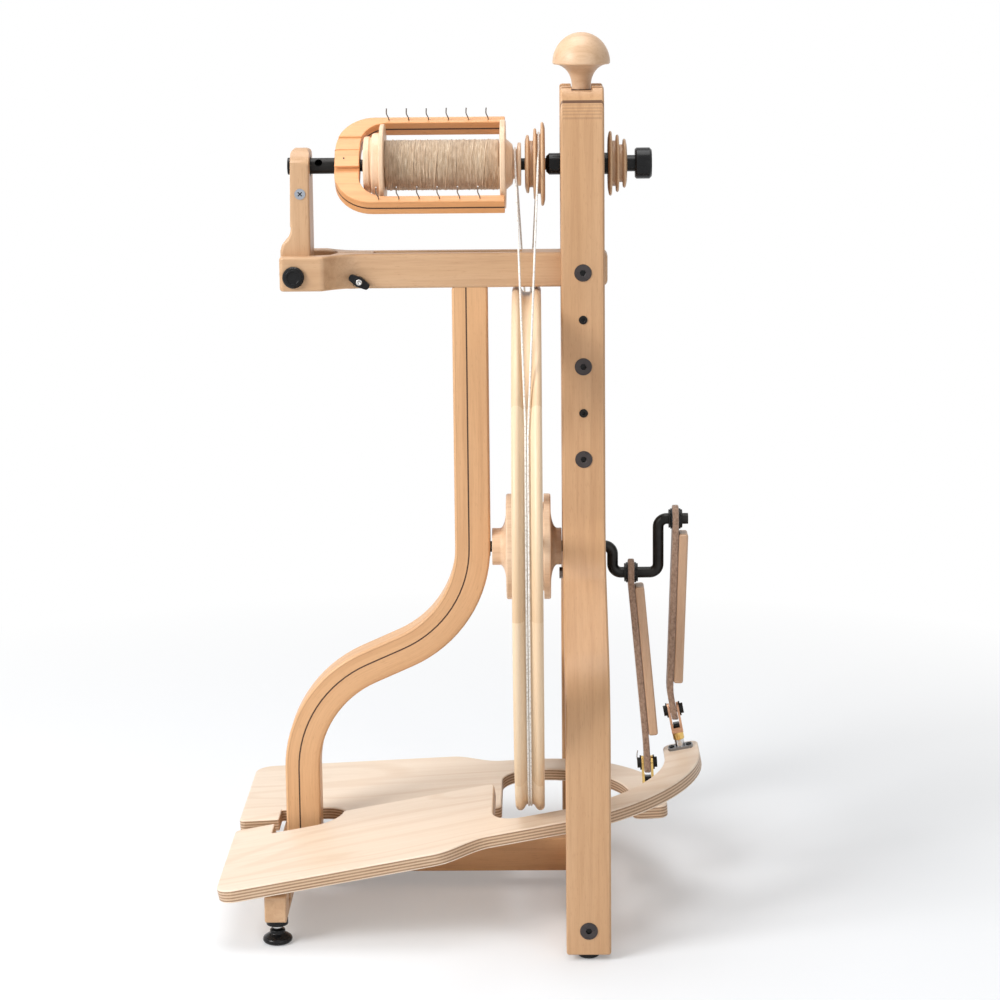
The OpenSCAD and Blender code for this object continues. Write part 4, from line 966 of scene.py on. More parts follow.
    def turned(self, name: str, foot: Vector, line: Sequence[Pair], sides: int = 96) -> Piece:
        """Turns an upright piece, as on a lathe, from its foot to its crown.

        Args:
            name: Name of the piece.
            foot: Middle of its foot.
            line: Radius and height of each ring.
            sides: Corners of a ring.

        Returns:
            The turned piece.
        """
        radius, height = line[0]
        bpy.ops.mesh.primitive_circle_add(vertices=sides, radius=radius, fill_type="NGON",
                                          location=foot + Vector((0, 0, height)))
        obj = self.named(name)
        with editing():
            for wide, high in line[1:]:
                bpy.ops.mesh.extrude_region_move(TRANSFORM_OT_translate={"value": (0, 0, high - height)})
                share, level = wide / radius, foot + Vector((0, 0, high))
                bpy.ops.transform.resize(value=(share, share, 1.0), center_override=level)
                radius, height = wide, high
            bpy.ops.mesh.merge(type="CENTER")
        self.smooth(obj)
        return obj

    def block(self, name: str, spot: Vector, ways: Ways, sizes: Triple, rounding: float = 0.0) -> Piece:
        """Makes a block.

        Args:
            name: Name of the piece.
            spot: Its middle.
            ways: Its three unit directions.
            sizes: Its size along each.
            rounding: Width of the rounding of its edges, or 0.

        Returns:
            The block.
        """
        turn = Matrix(ways).transposed().to_euler()
        bpy.ops.mesh.primitive_cube_add(size=1.0, location=spot, rotation=turn, scale=sizes)
        obj = self.named(name)
        if rounding:
            self.bevel(obj, rounding, self.steps, ROUND_TURN)
            self.smooth(obj)
        return obj

    def join(self, pieces: Sequence[Piece], name: str) -> Piece:
        """Joins pieces into the first of them.

        Args:
            pieces: The pieces.
            name: The name of the result.

        Returns:
            The joined piece.
        """
        self.only(pieces[0])
        for piece in pieces[1:]:
            piece.select_set(True)
        bpy.ops.object.join()
        pieces[0].name = name
        return pieces[0]

    def add(self, obj: Piece, body: str, finish: Finish) -> None:
        """Finishes a piece that stands for no node.

        Args:
            obj: The piece.
            body: The body that it moves with.
            finish: Its finish.
        """
        self.paint(obj, finish)
        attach(obj, body)
        LOG.info("%s added to %s", obj.name, body)

    def fitting(self, finish: Hard, width: float, *names: str) -> list[Piece]:
        """Shows metal or moulded nodes by copies whose edges catch the light.

        Args:
            finish: Their finish.
            width: Width of the rounding of their edges.
            names: Names of the nodes.

        Returns:
            The copies.
        """
        shown = []
        for name in names:
            obj = self.copy(name)
            self.bevel(obj, width, self.fitting_steps, self.corner_turn)
            self.smooth(obj, ROUND_TURN)
            self.even(obj)
            self.stand_for(obj, name, finish)
            shown.append(obj)
        return shown

    def coat(self, finish: Hard, *names: str) -> None:
        """Paints CAD nodes that are shown as they are."""
        for name in names:
            self.paint(self.nodes[name], finish)
            LOG.info("%s painted %s", name, finish.name)


@dataclass
class Stand:
    """Posts, base, arm and their fasteners."""

    bench: Bench
    rear: BentStrip = BentStrip(-29 * MM, 375 * MM, 80 * MM, math.radians(60), 158 * MM)
    front: BentStrip = BentStrip(-52.8 * MM, 336 * MM, 110 * MM, math.radians(66), 165.8 * MM)
    front_outer: float = 16.1 * MM
    post_rounding: float = 2.4 * MM
    rail_rounding: float = 1.2 * MM
    base_rounding: float = 1.8 * MM
    notch_depth: float = 11 * MM
    notch_fade: float = 24 * MM
    notch_share: float = 0.22
    corner_from: float = 15 * MM
    arm_rounding: float = 4.6 * MM
    arm_share: float = 0.57
    arm_end: float = 6 * MM
    clamp_clear: float = 11 * MM
    slot_half: float = 9 * MM
    edge: float = 0.6 * MM
    cap: Head = Head(7.6 * MM, 1.7 * MM, 0.72, 48)
    cap_sunk: float = 0.6 * MM
    clamp_head: Head = Head(2.9 * MM, 2.2 * MM, 0.45, 24)
    clamp_sunk: float = 1.5 * MM
    stud: Head = Head(4.25 * MM, 4.7 * MM)
    stud_foot: float = 12.6 * MM
    bolt_key: float = 3.3 * MM
    screw_key: float = 2.0 * MM
    key_depth: Pair = (0.3 * MM, 3.4 * MM)

    def build(self) -> None:
        """Dresses the stand."""
        bench, palette = self.bench, self.bench.palette
        self.posts()
        for node, finish, axis, width in (
                ("post_spine", palette.maple, Along.Z, self.rail_rounding),
                ("post_top_rail", palette.maple, Along.Y, self.rail_rounding),
                # The rear foot rail and the base beam take the maple with painted shade.
                ("rear_foot_rail", palette.shaded_maple, Along.Y, self.base_rounding),
                ("base_beam", palette.shaded_maple, Along.X, self.base_rounding),
                ("front_foot_bar", palette.maple, Along.Y, self.base_rounding)):
            bench.wooden(node, finish, axis, width)
        self.arm()
        self.trim()
        bench.fitting(palette.black, self.edge, "tilt_bolt", "axle_bushes", "rear_glides",
                      "foot_collars", "clamp_wing", "leveling_foot_near", "leveling_foot_far")
        for finish, node, key in ((palette.browned, "connector_bolts", self.bolt_key),
                                  (palette.blackened, "post_screws", self.screw_key)):
            for bolts in bench.fitting(finish, self.edge, node):
                self.sockets(bolts, key)
        bench.coat(palette.dull, "spine_bolt")
        bench.coat(palette.bright, "treadle_rod")

    def posts(self) -> None:
        """Dresses the bent posts and the front post's stripe."""
        bench, palette = self.bench, self.bench.palette
        wheel_x, post_x = middle("wheel_rim").x, middle("rear_post_near").x
        post_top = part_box("rear_post_near")[1].z

        def rear_grain(p: Vector) -> Triple:
            """Returns the grain along a rear post."""
            along, offset = self.rear.locate(-abs(p.y), p.z)
            return along + (0.0 if p.y < 0 else SHIFTS["rear_post_far"]), p.x, offset

        def front_grain(p: Vector) -> Triple:
            """Returns the grain along the front post."""
            along, offset = self.front.locate(p.x - wheel_x, p.z)
            return along + SHIFTS["front_post"], p.y, offset

        def outer(p: Vector) -> float:
            """Returns 1 for an edge on the front post's outer faces."""
            return float(abs(front_grain(p)[2]) > self.front_outer)

        def crown(p: Vector) -> float:
            """Returns a share that falls towards the posts' tops, by the notch and not at the corners."""
            if abs(p.x - post_x) > self.corner_from:
                return 1.0
            return min(1.0, max(self.notch_share, (post_top - self.notch_depth - p.z) / self.notch_fade))

        for node in ("rear_post_near", "rear_post_far"):
            bench.wooden(node, palette.post, rear_grain, self.post_rounding, keep=crown)
        bench.wooden("front_post", palette.front, front_grain, self.post_rounding, keep=outer)
        bench.wooden("front_post_stripe", palette.walnut, front_grain, 0.0)

    def arm(self) -> None:
        """Dresses the arm that carries the flyer."""
        clamp, rear_end = middle("clamp_wing"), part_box("mother_of_all")[1].x

        def share(p: Vector) -> float:
            """Rounds nothing by the clamp, little at the slot and channel and much at the rear end.

            Args:
                p: Middle of an edge.

            Returns:
                The share of the rounding.
            """
            if math.hypot(p.x - clamp.x, p.z - clamp.z) < self.clamp_clear:
                return 0.0
            if p.x > rear_end - self.arm_end:
                return 1.0
            return self.arm_share * (self.notch_share if abs(p.y) < self.slot_half else 1.0)

        maple = self.bench.palette.maple
        self.bench.wooden("mother_of_all", maple, Along.X, self.arm_rounding, keep=share)

    def sockets(self, bolts: Piece, key: float) -> None:
        """Paints shade into the key sockets of the side bolts, as black faces.

        Args:
            bolts: The bolts, all along the y axis.
            key: Radius of their sockets.
        """
        mesh, home = bolts.data, {}
        for shell in self.bench.islands(mesh):
            points = [mesh.vertices[i].co for i in shell]
            reach = max(abs(p.y) for p in points)
            place = [(min(p[i] for p in points) + max(p[i] for p in points)) / 2 for i in (0, 2)]
            home.update((i, (*place, reach)) for i in shell)

        def socket(face: bpy.types.MeshPolygon) -> bool:
            """Tells a socket's faces.

            Args:
                face: A face of the bolts.

            Returns:
                Whether it lies in a socket.
            """
            x, z, reach = home[face.vertices[0]]
            sunk = self.key_depth[0] < reach - abs(face.center.y) < self.key_depth[1]
            return sunk and math.hypot(face.center.x - x, face.center.z - z) < key

        # Painted shade: the faces inside the sockets get the black finish.
        self.bench.touch_up(bolts, self.bench.palette.black, socket)

    def trim(self) -> None:
        """Adds the rings of the pivot's caps, the clamp's bright screw and the levelling studs."""
        bench, palette = self.bench, self.bench.palette
        (low, high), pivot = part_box("tilt_bolt"), middle("tilt_bolt")
        for name, y, way in (("near", low.y, -1.0), ("far", high.y, 1.0)):
            face = Vector((pivot.x, y - way * self.cap_sunk, pivot.z))
            cap = bench.button(f"pivot_cap_{name}", face, Vector((0, way, 0)), self.cap)
            bench.add(cap, "stand", palette.black)
        clamp = middle("clamp_wing")
        clamp.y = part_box("clamp_wing")[0].y + self.clamp_sunk
        screw = bench.button("clamp_screw", clamp, Vector((0, -1, 0)), self.clamp_head)
        bench.add(screw, "clamp", palette.bright)
        for side in ("near", "far"):
            foot = middle(f"leveling_foot_{side}")
            foot.z = self.stud_foot
            stud = bench.button(f"level_stud_{side}", foot, Vector((0, 0, 1)), self.stud)
            bench.add(stud, f"foot_{side}", palette.bright)


@dataclass(frozen=True)
class Drift:
    """A value that wanders: the share of it that is kept, and the draw that makes up the rest."""

    kept: float
    mean: float
    spread: float

    def step(self, value: float, rng: random.Random) -> float:
        """Returns the next value."""
        return self.kept * value + (1 - self.kept) * rng.gauss(self.mean, self.spread)


@dataclass(frozen=True)
class Layer:
    """A wound layer: its turns, how high it lies, how far turns stray, in strands, and its ends."""

    name: str
    turns: int
    rise: float
    stray: float
    start: float = 0.0
    end: float = 0.0


@dataclass
class FlyerGroup:
    """Maiden, flyer, bobbin with its yarn, whorls, rear bearing and tension knob."""

    bench: Bench
    maiden_rounding: float = 2.6 * MM
    maiden_bare: float = 14 * MM
    maiden_fade: float = 26 * MM
    block_rounding: float = 1.5 * MM
    disc_rounding: float = 0.5 * MM
    frame_rounding: float = 0.9 * MM
    edge: float = 0.6 * MM
    roll: float = math.radians(44)
    half_thick: float = 9 * MM
    outer_from: float = 4.05 * MM
    recess: Pair = (8.5 * MM, 27 * MM)
    recess_depth: float = 1.5 * MM
    recess_reach: float = 26 * MM
    brad: Head = Head(0.9 * MM, 0.7 * MM, 0.0, 16)
    brad_in: float = 8.5 * MM
    brad_seat: float = 10.6 * MM
    stem: Pair = (8.9 * MM, 6.0 * MM)
    cove_top: Pair = (25.7 * MM, 25.0 * MM)
    cap_rim: Pair = (26.5 * MM, 26.2 * MM)
    cap_top: float = 54.0 * MM
    cove_steps: int = 12
    cap_steps: int = 18
    cap_end: float = math.radians(88)
    # Height of the band of painted shade at the foot of the knob's stem.
    painted_shade_height: float = 2.4 * MM
    cross_radius: float = 2.7 * MM
    cross_sunk: float = 0.2 * MM
    hook_wire: float = 1.15 * MM
    hook_foot: float = 0.2 * MM
    hook_line: tuple[Pair, ...] = (
        (0.5, -2.0), (0.5, 1.5), (0.1, 3.5), (-0.7, 6.2), (-1.3, 8.4), (-1.45, 10.0),
        (-1.35, 12.0), (-1.0, 17.2))
    yarn_inset: float = 0.4 * MM
    yarn_width: float = 1.2 * MM
    yarn_steps: int = 30
    yarn_radius: float = 22.75 * MM
    core_radius: float = 22.2 * MM
    core_sides: int = 64
    layers: tuple[Layer, ...] = (Layer("yarn_close", 106, 0.0, 0.12),
                                 Layer("yarn_loose", 9, 0.4 * MM, 1.2, 4 * MM, 3 * MM))
    wander: Drift = Drift(0.96, 0.0, 3.0)
    lift: Drift = Drift(0.9, 0.0, 1.6)
    fat: Drift = Drift(0.85, 1.0, 0.35)
    lift_height: float = 0.35 * MM
    fat_limits: Pair = (0.7, 1.35)
    seed: int = 7

    @property
    def ways(self) -> Ways:
        """Directions along the flyer's axis, across its arms and out of the face with the hooks."""
        cos, sin = math.cos(self.roll), math.sin(self.roll)
        return Vector((1, 0, 0)), Vector((0, sin, cos)), Vector((0, -cos, sin))

    def build(self) -> None:
        """Dresses the flyer group."""
        bench, palette = self.bench, self.bench.palette
        foot, top = middle("tilt_bolt").z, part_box("front_maiden")[1].z

        def upright(p: Vector) -> float:
            """Returns a share that is 0 in the arm's fork and falls towards the maiden's top."""
            return float(p.z > foot) * min(1.0, max(0.0, (top - self.maiden_bare - p.z) / self.maiden_fade))

        bench.wooden("front_maiden", palette.maple, Along.Z, self.maiden_rounding, keep=upright)
        bench.wooden("bearing_block", palette.maple, Along.Z, self.block_rounding)
        self.frame()
        bench.wooden("flyer_stripe", palette.walnut, Along.X, 0.0)
        self.knob()
        for node, finish in (("flyer_whorl", palette.maple), ("spare_whorl", palette.maple),
                             ("bobbin", palette.bobbin)):
            bench.wooden(node, finish, Along.Z, self.disc_rounding)
        self.hooks()
        bench.fitting(palette.black, self.edge, "orifice_bearing", "storage_peg")
        bench.coat(palette.black, "flyer_rear_bearing")
        bench.coat(palette.blackened, "orifice_tube", "flyer_shaft")
        bench.coat(palette.bright, "tension_screw")
        self.screw_head()
        self.wind()

    def knob(self) -> None:
        """Turns the mushroom knob with its crisp lower edge and a dark band of painted shade at the foot of
        its stem.
        """
        bench, palette = self.bench, self.bench.palette
        (waist, neck), (lip, under), (radius, rim) = self.stem, self.cove_top, self.cap_rim
        cove = arc((lip, neck), (lip - waist, under - neck), (math.pi, math.pi / 2), self.cove_steps)
        cap = arc((0.0, rim), (radius, self.cap_top - rim), (0.0, self.cap_end), self.cap_steps)
        foot = middle("tension_knob")
        foot.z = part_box("tension_knob")[0].z
        knob = bench.turned("tension_knob_shown", foot, [(waist, 0.0), (waist, self.painted_shade_height), *cove, *cap])
        bench.lay(knob, straight(Along.X, SHIFTS["tension_knob"]))
        bench.stand_for(knob, "tension_knob", palette.turned)
        # Painted shade: the foot of the stem is walnut dark, where the notch in the post's top lies in
        # shadow.
        bench.touch_up(knob, palette.walnut, lambda face: face.center.z < foot.z + self.painted_shade_height)

    def frame(self) -> None:
        """Cuts the two shallow steps beside the yoke's boss, softens the flyer and sets its brad."""
        bench, palette = self.bench, self.bench.palette
        along, across, out = self.ways
        centre = middle("flyer_shaft")
        yoke = Vector((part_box("flyer_frame")[0].x, centre.y, centre.z))
        obj = bench.copy("flyer_frame")
        near, far = self.recess
        for sign in (-1.0, 1.0):
            spot = yoke + across * (sign * (near + far) / 2) + out * self.half_thick
            sizes = (2 * self.recess_reach, far - near, 2 * self.recess_depth)
            cutter = bench.block("cutter", spot, self.ways, sizes)
            bench.apply(obj, "step", "BOOLEAN", object=cutter, operation="DIFFERENCE", solver="EXACT")
            bpy.data.objects.remove(cutter)

        def grain(p: Vector) -> Triple:
            """Returns the grain along, across and through the flyer."""
            return p.x + SHIFTS["flyer_frame"], (p - centre).dot(across), (p - centre).dot(out)

        bench.soften(obj, self.frame_rounding, lambda p: float(abs(grain(p)[2]) > self.outer_from))
        bench.lay(obj, grain)
        bench.stand_for(obj, "flyer_frame", palette.flyer)
        brad = bench.button("yoke_brad", yoke + along * self.brad_in + out * self.brad_seat, out, self.brad)
        bench.add(brad, "flyer", palette.blackened)

    def screw_head(self) -> None:
        """Paints the maiden's screw zinc and paints shade into its cross recess."""
        bench, palette = self.bench, self.bench.palette
        seat, face_y = middle("maiden_screw"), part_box("maiden_screw")[0].y

        def cross(face: bpy.types.MeshPolygon) -> bool:
            """Returns whether a face lies in the recess."""
            out = math.hypot(face.center.x - seat.x, face.center.z - seat.z)
            return face.center.y > face_y + self.cross_sunk and out < self.cross_radius

        bench.coat(palette.zinc, "maiden_screw")
        # Painted shade: the faces of the cross recess get the blackened finish.
        bench.touch_up(bench.nodes["maiden_screw"], palette.blackened, cross)

    def hooks(self) -> None:
        """Bends a wire hook at the foot of each CAD hook and joins them."""
        bench = self.bench
        along, across, out = self.ways
        centre = middle("flyer_shaft")
        plain, feet = bench.copy("flyer_hooks"), []
        for shell in bench.islands(plain.data):
            group = [plain.data.vertices[i].co.copy() for i in shell]
            base = min((p - centre).dot(out) for p in group)
            low = [p for p in group if (p - centre).dot(out) < base + self.hook_foot]
            feet.append(sum(low, Vector()) / len(low))
        bpy.data.objects.remove(plain)
        feet.sort(key=lambda p: (round((p - centre).dot(across), 4), p.x))
        wires = []
        for i, foot in enumerate(feet):
            points = [foot + along * (x * MM) + out * (h * MM) for x, h in self.hook_line]
            wires.append(bench.tube(f"hook_{i}", points, self.hook_wire))
        bench.stand_for(bench.join(wires, "flyer_hooks_shown"), "flyer_hooks", bench.palette.dull)

    def wind(self) -> None:
        """Winds the yarn: a core, a close layer of thin strands and a loose layer across it."""
        bench = self.bench
        (low, high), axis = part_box("bobbin_yarn"), middle("bobbin")
        x0, x1 = low.x + self.yarn_inset, high.x - self.yarn_inset
        bpy.ops.mesh.primitive_cylinder_add(
            vertices=self.core_sides, radius=self.core_radius, depth=x1 - x0,
            location=((x0 + x1) / 2, axis.y, axis.z), rotation=(0, math.pi / 2, 0))
        core = bench.named("yarn_core")
        bench.smooth(core)
        rng = random.Random(self.seed)
        strands = [self.strand(rng, layer, x0, x1, axis) for layer in self.layers]
        yarn = bench.join([core, *strands], "bobbin_yarn_shown")
        bench.stand_for(yarn, "bobbin_yarn", bench.palette.yarn)

    def strand(self, rng: random.Random, layer: Layer, x0: float, x1: float, axis: Vector) -> Piece:
        """Winds one layer as a single uneven strand.

        Args:
            rng: Source of the unevenness.
            layer: The layer.
            x0: Where the yarn starts along the bobbin.
            x1: Where it ends.
            axis: A point on the bobbin's axis.

        Returns:
            The strand.
        """
        x0, x1 = x0 + layer.start, x1 - layer.end
        count = layer.turns * self.yarn_steps
        least, most = self.fat_limits
        points, swell = [], []
        wander, lift, fat = 0.0, 0.0, 1.0
        for i in range(count + 1):
            wander = self.wander.step(wander, rng)
            lift = self.lift.step(lift, rng)
            fat = self.fat.step(fat, rng)
            turn = math.tau * i / self.yarn_steps
            x = x0 + (x1 - x0) * i / count + wander * layer.stray * self.yarn_width
            r = self.yarn_radius + layer.rise + lift * self.lift_height
            y, z = axis.y - r * math.cos(turn), axis.z + r * math.sin(turn)
            points.append(Vector((min(max(x, x0), x1), y, z)))
            swell.append(min(max(fat, least), most))
        return self.bench.tube(layer.name, points, self.yarn_width, sides=0, swell=swell)


@dataclass
class DriveBand:
    """The doubled cord from the wheel to the two whorls."""

    bench: Bench
    width: float = 1.9 * MM
    wheel_r: float = 242.8 * MM
    flyer_r: float = 28.8 * MM
    bobbin_r: float = 14.8 * MM
    lane: float = 1.15 * MM
    flyer_x: float = 12.2 * MM
    bobbin_x: float = -9.6 * MM
    bow: float = 0.7 * MM
    bow_power: int = 3
    still: float = 20 * MM
    follow: float = 60 * MM
    wheel_steps: int = 96
    top_steps: int = 20
    run_steps: int = 24

    def build(self) -> None:
        """Draws the cord along the CAD route."""
        bench, cord = self.bench, self.bench.palette.cord
        wheel, flyer = middle("wheel_rim"), middle("flyer_shaft")
        band = bench.tube("drive_band_shown", self.route(wheel, flyer), self.width, closed=True)
        bench.paint(band, cord)
        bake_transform(band)
        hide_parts("drive_band")
        LOG.info("%s shows drive_band", band.name)

    def route(self, wheel: Vector, flyer: Vector) -> list[Vector]:
        """Lists the points of the cord's middle line.

        Args:
            wheel: Middle of the wheel.
            flyer: A point on the flyer's axis.

        Returns:
            The closed line.
        """
        rise = flyer.z - wheel.z
        bobbin_lean = math.asin((self.wheel_r - self.bobbin_r) / rise)
        flyer_lean = math.asin((self.wheel_r - self.flyer_r) / rise)

        def over(x: float, radius: float, lean: float) -> list[Vector]:
            """Returns the bend over a whorl."""
            bend = arc((0.0, flyer.z), (radius, radius), (math.pi - lean, lean), self.top_steps)
            return [Vector((wheel.x + x, y, z)) for y, z in bend]

        def under(x: float, turn: Pair) -> list[Vector]:
            """Returns the bend under the wheel, from one angle to another."""
            bend = arc((0.0, wheel.z), (self.wheel_r, self.wheel_r), turn, self.wheel_steps)
            return [Vector((wheel.x + x, y, z)) for y, z in bend]

        def run(p: Vector, q: Vector, bow: float) -> list[Vector]:
            """Runs between two ends, bowed sideways near the second.

            Args:
                p: First end.
                q: Second end.
                bow: Depth of the bow.

            Returns:
                The points between the ends.
            """
            side = Vector((0.0, q.z - p.z, p.y - q.y)).normalized()
            line = []
            for i in range(1, self.run_steps):
                t = i / self.run_steps
                line.append(p + (q - p) * t + side * (bow * math.sin(math.pi * t ** self.bow_power)))
            return line

        over_bobbin = over(self.bobbin_x, self.bobbin_r, bobbin_lean)
        over_flyer = over(self.flyer_x, self.flyer_r, flyer_lean)
        under_flyer = under(self.lane, (bobbin_lean, -math.pi - flyer_lean))
        under_bobbin = under(-self.lane, (flyer_lean, -math.pi - bobbin_lean))
        return [
            *over_bobbin, *run(over_bobbin[-1], under_flyer[0], self.bow),
            *under_flyer, *run(under_flyer[-1], over_flyer[0], 0.0),
            *over_flyer, *run(over_flyer[-1], under_bobbin[0], -self.bow),
            *under_bobbin, *run(under_bobbin[-1], over_bobbin[0], 0.0),
        ]


@dataclass
class DriveWheel:
    """Rim, spokes, hub and crank."""

    bench: Bench
    edge: float = 0.4 * MM
    hub_rounding: float = 0.6 * MM
    segments: int = 8
    segment_steps: int = 21
    first_joint: int = 22
    grain_jump: Pair = (3.3, 1.7)
    rim_half: float = 13.5 * MM
    rim_inside: float = 215.5 * MM
    rim_corner: float = 1.5 * MM
    corner_steps: int = 3
    bead: float = 4.2 * MM
    bead_steps: int = 6
    crest: float = 247.5 * MM
    valley: Pair = (2.2 * MM, 241.5 * MM)
    slope: float = 1.4
    slope_steps: int = 8

    def build(self) -> None:
        """Dresses the wheel."""
        bench, palette = self.bench, self.bench.palette
        centre = middle("wheel_rim")
        self.rim(centre)
        bench.wooden("wheel_spokes", palette.maple, spread_out(centre, SHIFTS["wheel_spokes"]), 0.0)
        bench.wooden("wheel_hub", palette.bobbin, Along.X, self.hub_rounding)
        bench.coat(palette.blackened, "crank_axle", "crank_clips")
        bench.fitting(palette.black, self.edge, "crank_bush_near", "crank_bush_far")

    def section(self) -> list[Pair]:
        """Draws half of the rim's section: valley, bead, side and inner corner.

        Returns:
            The distance from the wheel's plane and the radius of each point.
        """
        (flat, low), top, side = self.valley, self.rim_half - self.bead, self.rim_half - self.rim_corner
        rise = []
        for i in range(self.slope_steps):
            share = 1 - i / self.slope_steps
            height = (1 + math.cos(math.pi * share ** self.slope)) / 2
            rise.append((top - (top - flat) * share, low + (self.crest - low) * height))
        bead = arc((top, self.crest - self.bead), (self.bead, self.bead),
                   (math.pi / 2, 0.0), self.bead_steps)
        corner = arc((side, self.rim_inside + self.rim_corner), (self.rim_corner, self.rim_corner),
                     (0.0, -math.pi / 2), self.corner_steps)
        return [(0.0, low), *rise, *bead, *corner]

    def rim(self, centre: Vector) -> None:
        """Turns the rim, with two beads and a valley for the cord, and lays the grain of its segments.

        Args:
            centre: Middle of the wheel.
        """
        bench, half = self.bench, self.section()
        outline = [*half, *((-x, r) for x, r in reversed(half[1:]))]
        bpy.ops.mesh.primitive_circle_add(vertices=len(outline), location=(0, 0, 0))
        rim = bench.named("wheel_rim_shown")
        for vert, (x, r) in zip(rim.data.vertices, outline):
            vert.co = centre + Vector((x, 0.0, r))
        with editing():
            steps = self.segments * self.segment_steps
            bpy.ops.mesh.spin(steps=steps, angle=math.tau, center=centre, axis=(1, 0, 0))
            bpy.ops.mesh.select_all(action="SELECT")
            bpy.ops.mesh.remove_doubles(threshold=bench.weld)
        bench.smooth(rim)
        self.segment(rim.data, centre)
        bench.stand_for(rim, "wheel_rim", bench.palette.rim)

    def segment(self, mesh: bpy.types.Mesh, centre: Vector) -> None:
        """Lays the grain round the rim, broken at each joint, and its tone, deeper towards a segment's end.

        Args:
            mesh: The rim's mesh.
            centre: Middle of the wheel.
        """
        for name, kind in ((GRAIN, "FLOAT_VECTOR"), (TONE, "FLOAT")):
            mesh.attributes.new(name, kind, "CORNER")
        grain, tone = mesh.attributes[GRAIN], mesh.attributes[TONE]
        step, (jump, move) = math.tau / self.segments, self.grain_jump

        def turn(p: Vector) -> float:
            """Returns a point's place round the rim, in segments from the first joint."""
            angle = math.atan2(centre.y - p.y, p.z - centre.z)
            return (angle / step - self.first_joint / self.segment_steps) % self.segments

        for polygon in mesh.polygons:
            number = math.floor(turn(polygon.center))
            for loop in polygon.loop_indices:
                p = mesh.vertices[mesh.loops[loop].vertex_index].co
                share = (turn(p) - number + 0.5) % self.segments - 0.5
                out = math.hypot(p.y - centre.y, p.z - centre.z)
                grain.data[loop].vector = (share * step * out + jump * number, p.x + move * number, out)
                tone.data[loop].value = share ** 2 if share > 0.0 else 0.0


@dataclass
class Footmen:
    """Leather straps and the slats on them."""

    bench: Bench
    strap_rounding: float = 1.3 * MM
    slat_rounding: float = 2.2 * MM

    def build(self) -> None:
        """Dresses both footmen."""
        bench, palette = self.bench, self.bench.palette
        for side in ("near", "far"):
            strap = bench.copy(f"footman_strap_{side}")
            bench.soften(strap, self.strap_rounding)
            bench.stand_for(strap, f"footman_strap_{side}", palette.leather)
            bench.wooden(f"footman_slat_{side}", palette.slat, Along.Z, self.slat_rounding)


@dataclass
class Treadles:
    """Boards, clevises and their pins."""

    bench: Bench
    rod_x: float = -232 * MM
    rod_z: float = 37 * MM
    under: float = 14.5 * MM
    slopes: Pair = (math.radians(10.5), math.radians(2.8))
    reaches: Pair = (388 * MM, 348 * MM)
    board_top: float = 27 * MM
    board_rounding: float = 1.4 * MM
    plate_top: float = 2.4 * MM
    plate_skin: float = 0.2 * MM
    ferrule: Head = Head(5.3 * MM, 7.3 * MM, 0.9)
    ferrule_up: float = 9.5 * MM
    lock: Triple = (6.0 * MM, 8.5 * MM, 3.4 * MM)
    lock_up: float = 23.6 * MM
    lock_rounding: float = 0.5 * MM
    screw: Head = Head(2.7 * MM, 1.3 * MM, 0.45, 24)
    screw_out: float = 8.2 * MM
    pin_half: float = 9.0 * MM
    pin_up: float = 39 * MM
    wire: float = 0.9 * MM
    cotter: tuple[Triple, ...] = (
        (-0.8, -2.6, -3.0), (-0.4, -1.8, -1.0), (0.0, -0.6, 1.0), (0.3, 0.4, 3.4), (0.5, 0.9, 6.0),
        (0.2, 1.1, 9.0), (-0.5, 0.9, 12.0))

    def build(self) -> None:
        """Dresses both treadles."""
        bench, palette = self.bench, self.bench.palette
        rod = Vector((middle("wheel_rim").x + self.rod_x, 0, self.rod_z))
        cheeks = (palette.copper, palette.brass)
        for side, slope, reach, finish in zip(("near", "far"), self.slopes, self.reaches, cheeks):
            along = Vector((math.cos(slope), 0, math.sin(slope)))
            up = Vector((-math.sin(slope), 0, math.cos(slope)))

            def flat(p: Vector, along: Vector = along, up: Vector = up) -> Triple:
                """Returns the grain of a sloping board."""
                return (p - rod).dot(along), p.y, (p - rod).dot(up) - self.under

            bench.wooden(f"treadle_{side}", palette.plywood, flat, self.board_rounding)
            self.fork(side, rod + along * reach + up * self.board_top, along, up, finish)
        bench.coat(palette.blackened, "clevis_pin_near", "clevis_pin_far")

    def fork(self, side: str, foot: Vector, along: Vector, up: Vector, cheeks: Hard) -> None:
        """Dresses a fork: cheeks, plate, ferrule, lock block, plate screws and, far, a cotter wire.

        Args:
            side: near or far.
            foot: Middle of its foot, on the board.
            along: Direction along the board.
            up: Direction out of the board.
            cheeks: Finish of its cheeks.
        """
        bench, palette = self.bench, self.bench.palette
        body, plate, across = f"treadle_{side}", f"clevis_plate_{side}", Vector((0, 1, 0))
        top = self.plate_top + self.plate_skin
        bench.coat(cheeks, f"clevis_{side}")
        bench.coat(palette.dull, plate)
        bench.touch_up(bench.nodes[plate], palette.bright, lambda face: (face.center - foot).dot(up) > top)
        ferrule = bench.button(f"ferrule_{side}", foot + up * self.ferrule_up, up, self.ferrule)
        bench.add(ferrule, body, palette.brass)
        seat = foot + up * self.lock_up
        lock = bench.block(f"lock_block_{side}", seat, (along, across, up), self.lock, self.lock_rounding)
        bench.add(lock, body, palette.black)
        for sign in (-1, 1):
            seat = foot + along * (sign * self.screw_out) + up * (self.plate_top - self.plate_skin)
            screw = bench.button(f"plate_screw_{side}_{sign + 1}", seat, up, self.screw)
            bench.add(screw, body, palette.blackened)
        if side == "far":
            pin = foot - along * self.pin_half + up * self.pin_up
            line = [pin - along * (x * MM) + across * (y * MM) + up * (z * MM) for x, y, z in self.cotter]
            bench.add(bench.tube("cotter_far", line, self.wire), body, palette.bright)


